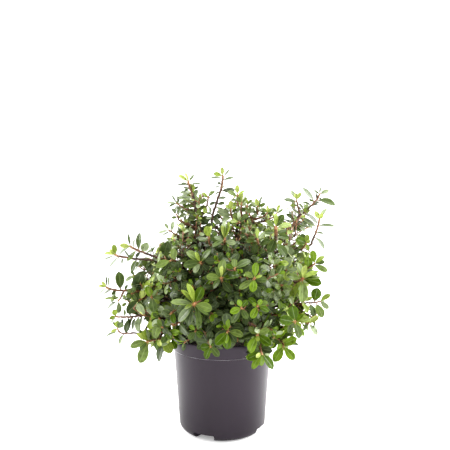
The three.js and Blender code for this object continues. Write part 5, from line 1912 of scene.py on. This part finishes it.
def joinLeaves(name, kind, places, materials):
    age = leafKinds[kind]["form"]
    forms = [leafShape(age, form) for form in leafForms[age]]
    corners, faces, slots, count = [], [], [], 0
    for number, (shape, shapeFaces, shapeSlots) in enumerate(forms):
        mine = [p for p in places if int(p[5] * len(forms)) == number]
        if not mine:
            continue
        base = np.array([p[0] for p in mine])
        axes = np.array([[p[1], p[2], p[3]] for p in mine])
        sizes = np.array([p[4] for p in mine])
        placed = base[:, None] + np.einsum("kc,ncd->nkd", shape, axes) * sizes[:, None, None]
        offsets = count + np.arange(len(mine)) * len(shape)
        corners.append(placed.reshape(-1, 3))
        faces.append((shapeFaces[None] + offsets[:, None, None]).reshape(-1, 4))
        slots.append(np.tile(shapeSlots, len(mine)))
        count += len(mine) * len(shape)
    return meshFromArrays(name, corners, faces, slots, materials)


leaves = {kind: [] for kind in leafKinds}
for number, shoot in enumerate(shoots):
    placeMarkedShoot(leaves, number, shoot)
markedSpots = np.array(markedSpots)
for number, shoot in enumerate(shoots):
    growLeaves(leaves, number, shoot)
twigMaterials = [
    barkMaterial("twigBark", (0.03, 0.014, 0.009), (0.11, 0.055, 0.03), 0.7),
    barkMaterial("redTwig", (0.085, 0.03, 0.014), (0.22, 0.095, 0.035), 0.55),
    barkMaterial("shootTip", (0.2, 0.07, 0.025), (0.34, 0.18, 0.06), 0.5),
]
twigs = makeTwigs(shoots, twigMaterials, tubeSet)
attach(twigs, "root")
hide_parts(*foliageNodes)
print("twigs made:", len(twigs.data.polygons), "faces")
materials = leafMaterials()
for kind, places in leaves.items():
    parts = max(1, math.ceil(len(places) / leafSet["perPiece"]))
    for part in range(parts):
        name = "leaves" + kind.capitalize() + (str(part + 1) if parts > 1 else "")
        piece = joinLeaves(name, kind, places[part::parts], materials[kind])
        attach(piece, "root")
        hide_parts(*foliageNodes)
    print("leaves", kind, len(places))


# Stage and light

stageSet = {"size": 12.0, "white": (0.94, 0.94, 0.94), "glow": 0.3}

# The white surroundings shine from behind more than from the front, but their horizon is white all round
lightSet = {
    "front": 0.16,
    "back": 2.35,
    "horizonFront": 1.03,
    "band": (0.19, 0.36),
    "backFrom": 0.5,
    "aim": Vector((0, 0, 0.22)),
    # place, size and watts of each light
    "lights": {
        "top": ((0.1, 0.0, 2.1), 1.1, 46),
        "backLeft": ((-1.9, 0.9, 1.0), 1.4, 52),
        "backRight": ((1.8, 0.7, 1.1), 1.4, 60),
        "left": ((-1.8, -0.4, 0.9), 1.2, 14),
        "right": ((1.8, -0.4, 0.9), 1.2, 27),
    },
}


def makeStage(s):
    bpy.ops.mesh.primitive_plane_add(size=s["size"], location=(0, 0, 0))
    floor = bpy.context.object
    floor.name = "floor"
    glow = {"Emission_Color": (1, 1, 1, 1), "Emission_Strength": s["glow"]}
    paper = newMaterial("whitePaper", s["white"], 0.9, **glow)
    colourBy(paper, objectNoise(paper, 3, 2), shaded(s["white"], 0.99), s["white"])
    floor.data.materials.append(paper)


def makeLights(s):
    world = bpy.data.worlds.new("white")
    world.use_nodes = True
    nodes, links = world.node_tree.nodes, world.node_tree.links
    background = nodes["Background"]
    background.inputs["Color"].default_value = (1, 1, 1, 1)
    heading = nodes.new("ShaderNodeTexCoord")
    parts = nodes.new("ShaderNodeSeparateXYZ")
    links.new(heading.outputs["Generated"], parts.inputs["Vector"])

    def ranged(axis, *limits):
        node = nodes.new("ShaderNodeMapRange")
        for socket, value in zip(("From Min", "From Max", "To Min", "To Max"), limits):
            node.inputs[socket].default_value = value
        links.new(parts.outputs[axis], node.inputs["Value"])
        return node.outputs["Result"]

    blend = nodes.new("ShaderNodeMix")
    links.new(ranged("Z", *s["band"], 0, 1), blend.inputs[0])
    links.new(ranged("Y", -1, s["backFrom"], s["horizonFront"], s["back"]), blend.inputs[2])
    links.new(ranged("Y", -1, s["backFrom"], s["front"], s["back"]), blend.inputs[3])
    links.new(blend.outputs[0], background.inputs["Strength"])
    scene.world = world
    for name, (place, size, watts) in s["lights"].items():
        bpy.ops.object.light_add(type="AREA", location=place)
        light = bpy.context.object
        light.name = name
        light.data.size = size
        light.data.energy = watts
        light.rotation_euler = (s["aim"] - Vector(place)).to_track_quat("-Z", "Y").to_euler()


makeStage(stageSet)
makeLights(lightSet)
scene.view_settings.view_transform = "Standard"
print("stage and lights set")
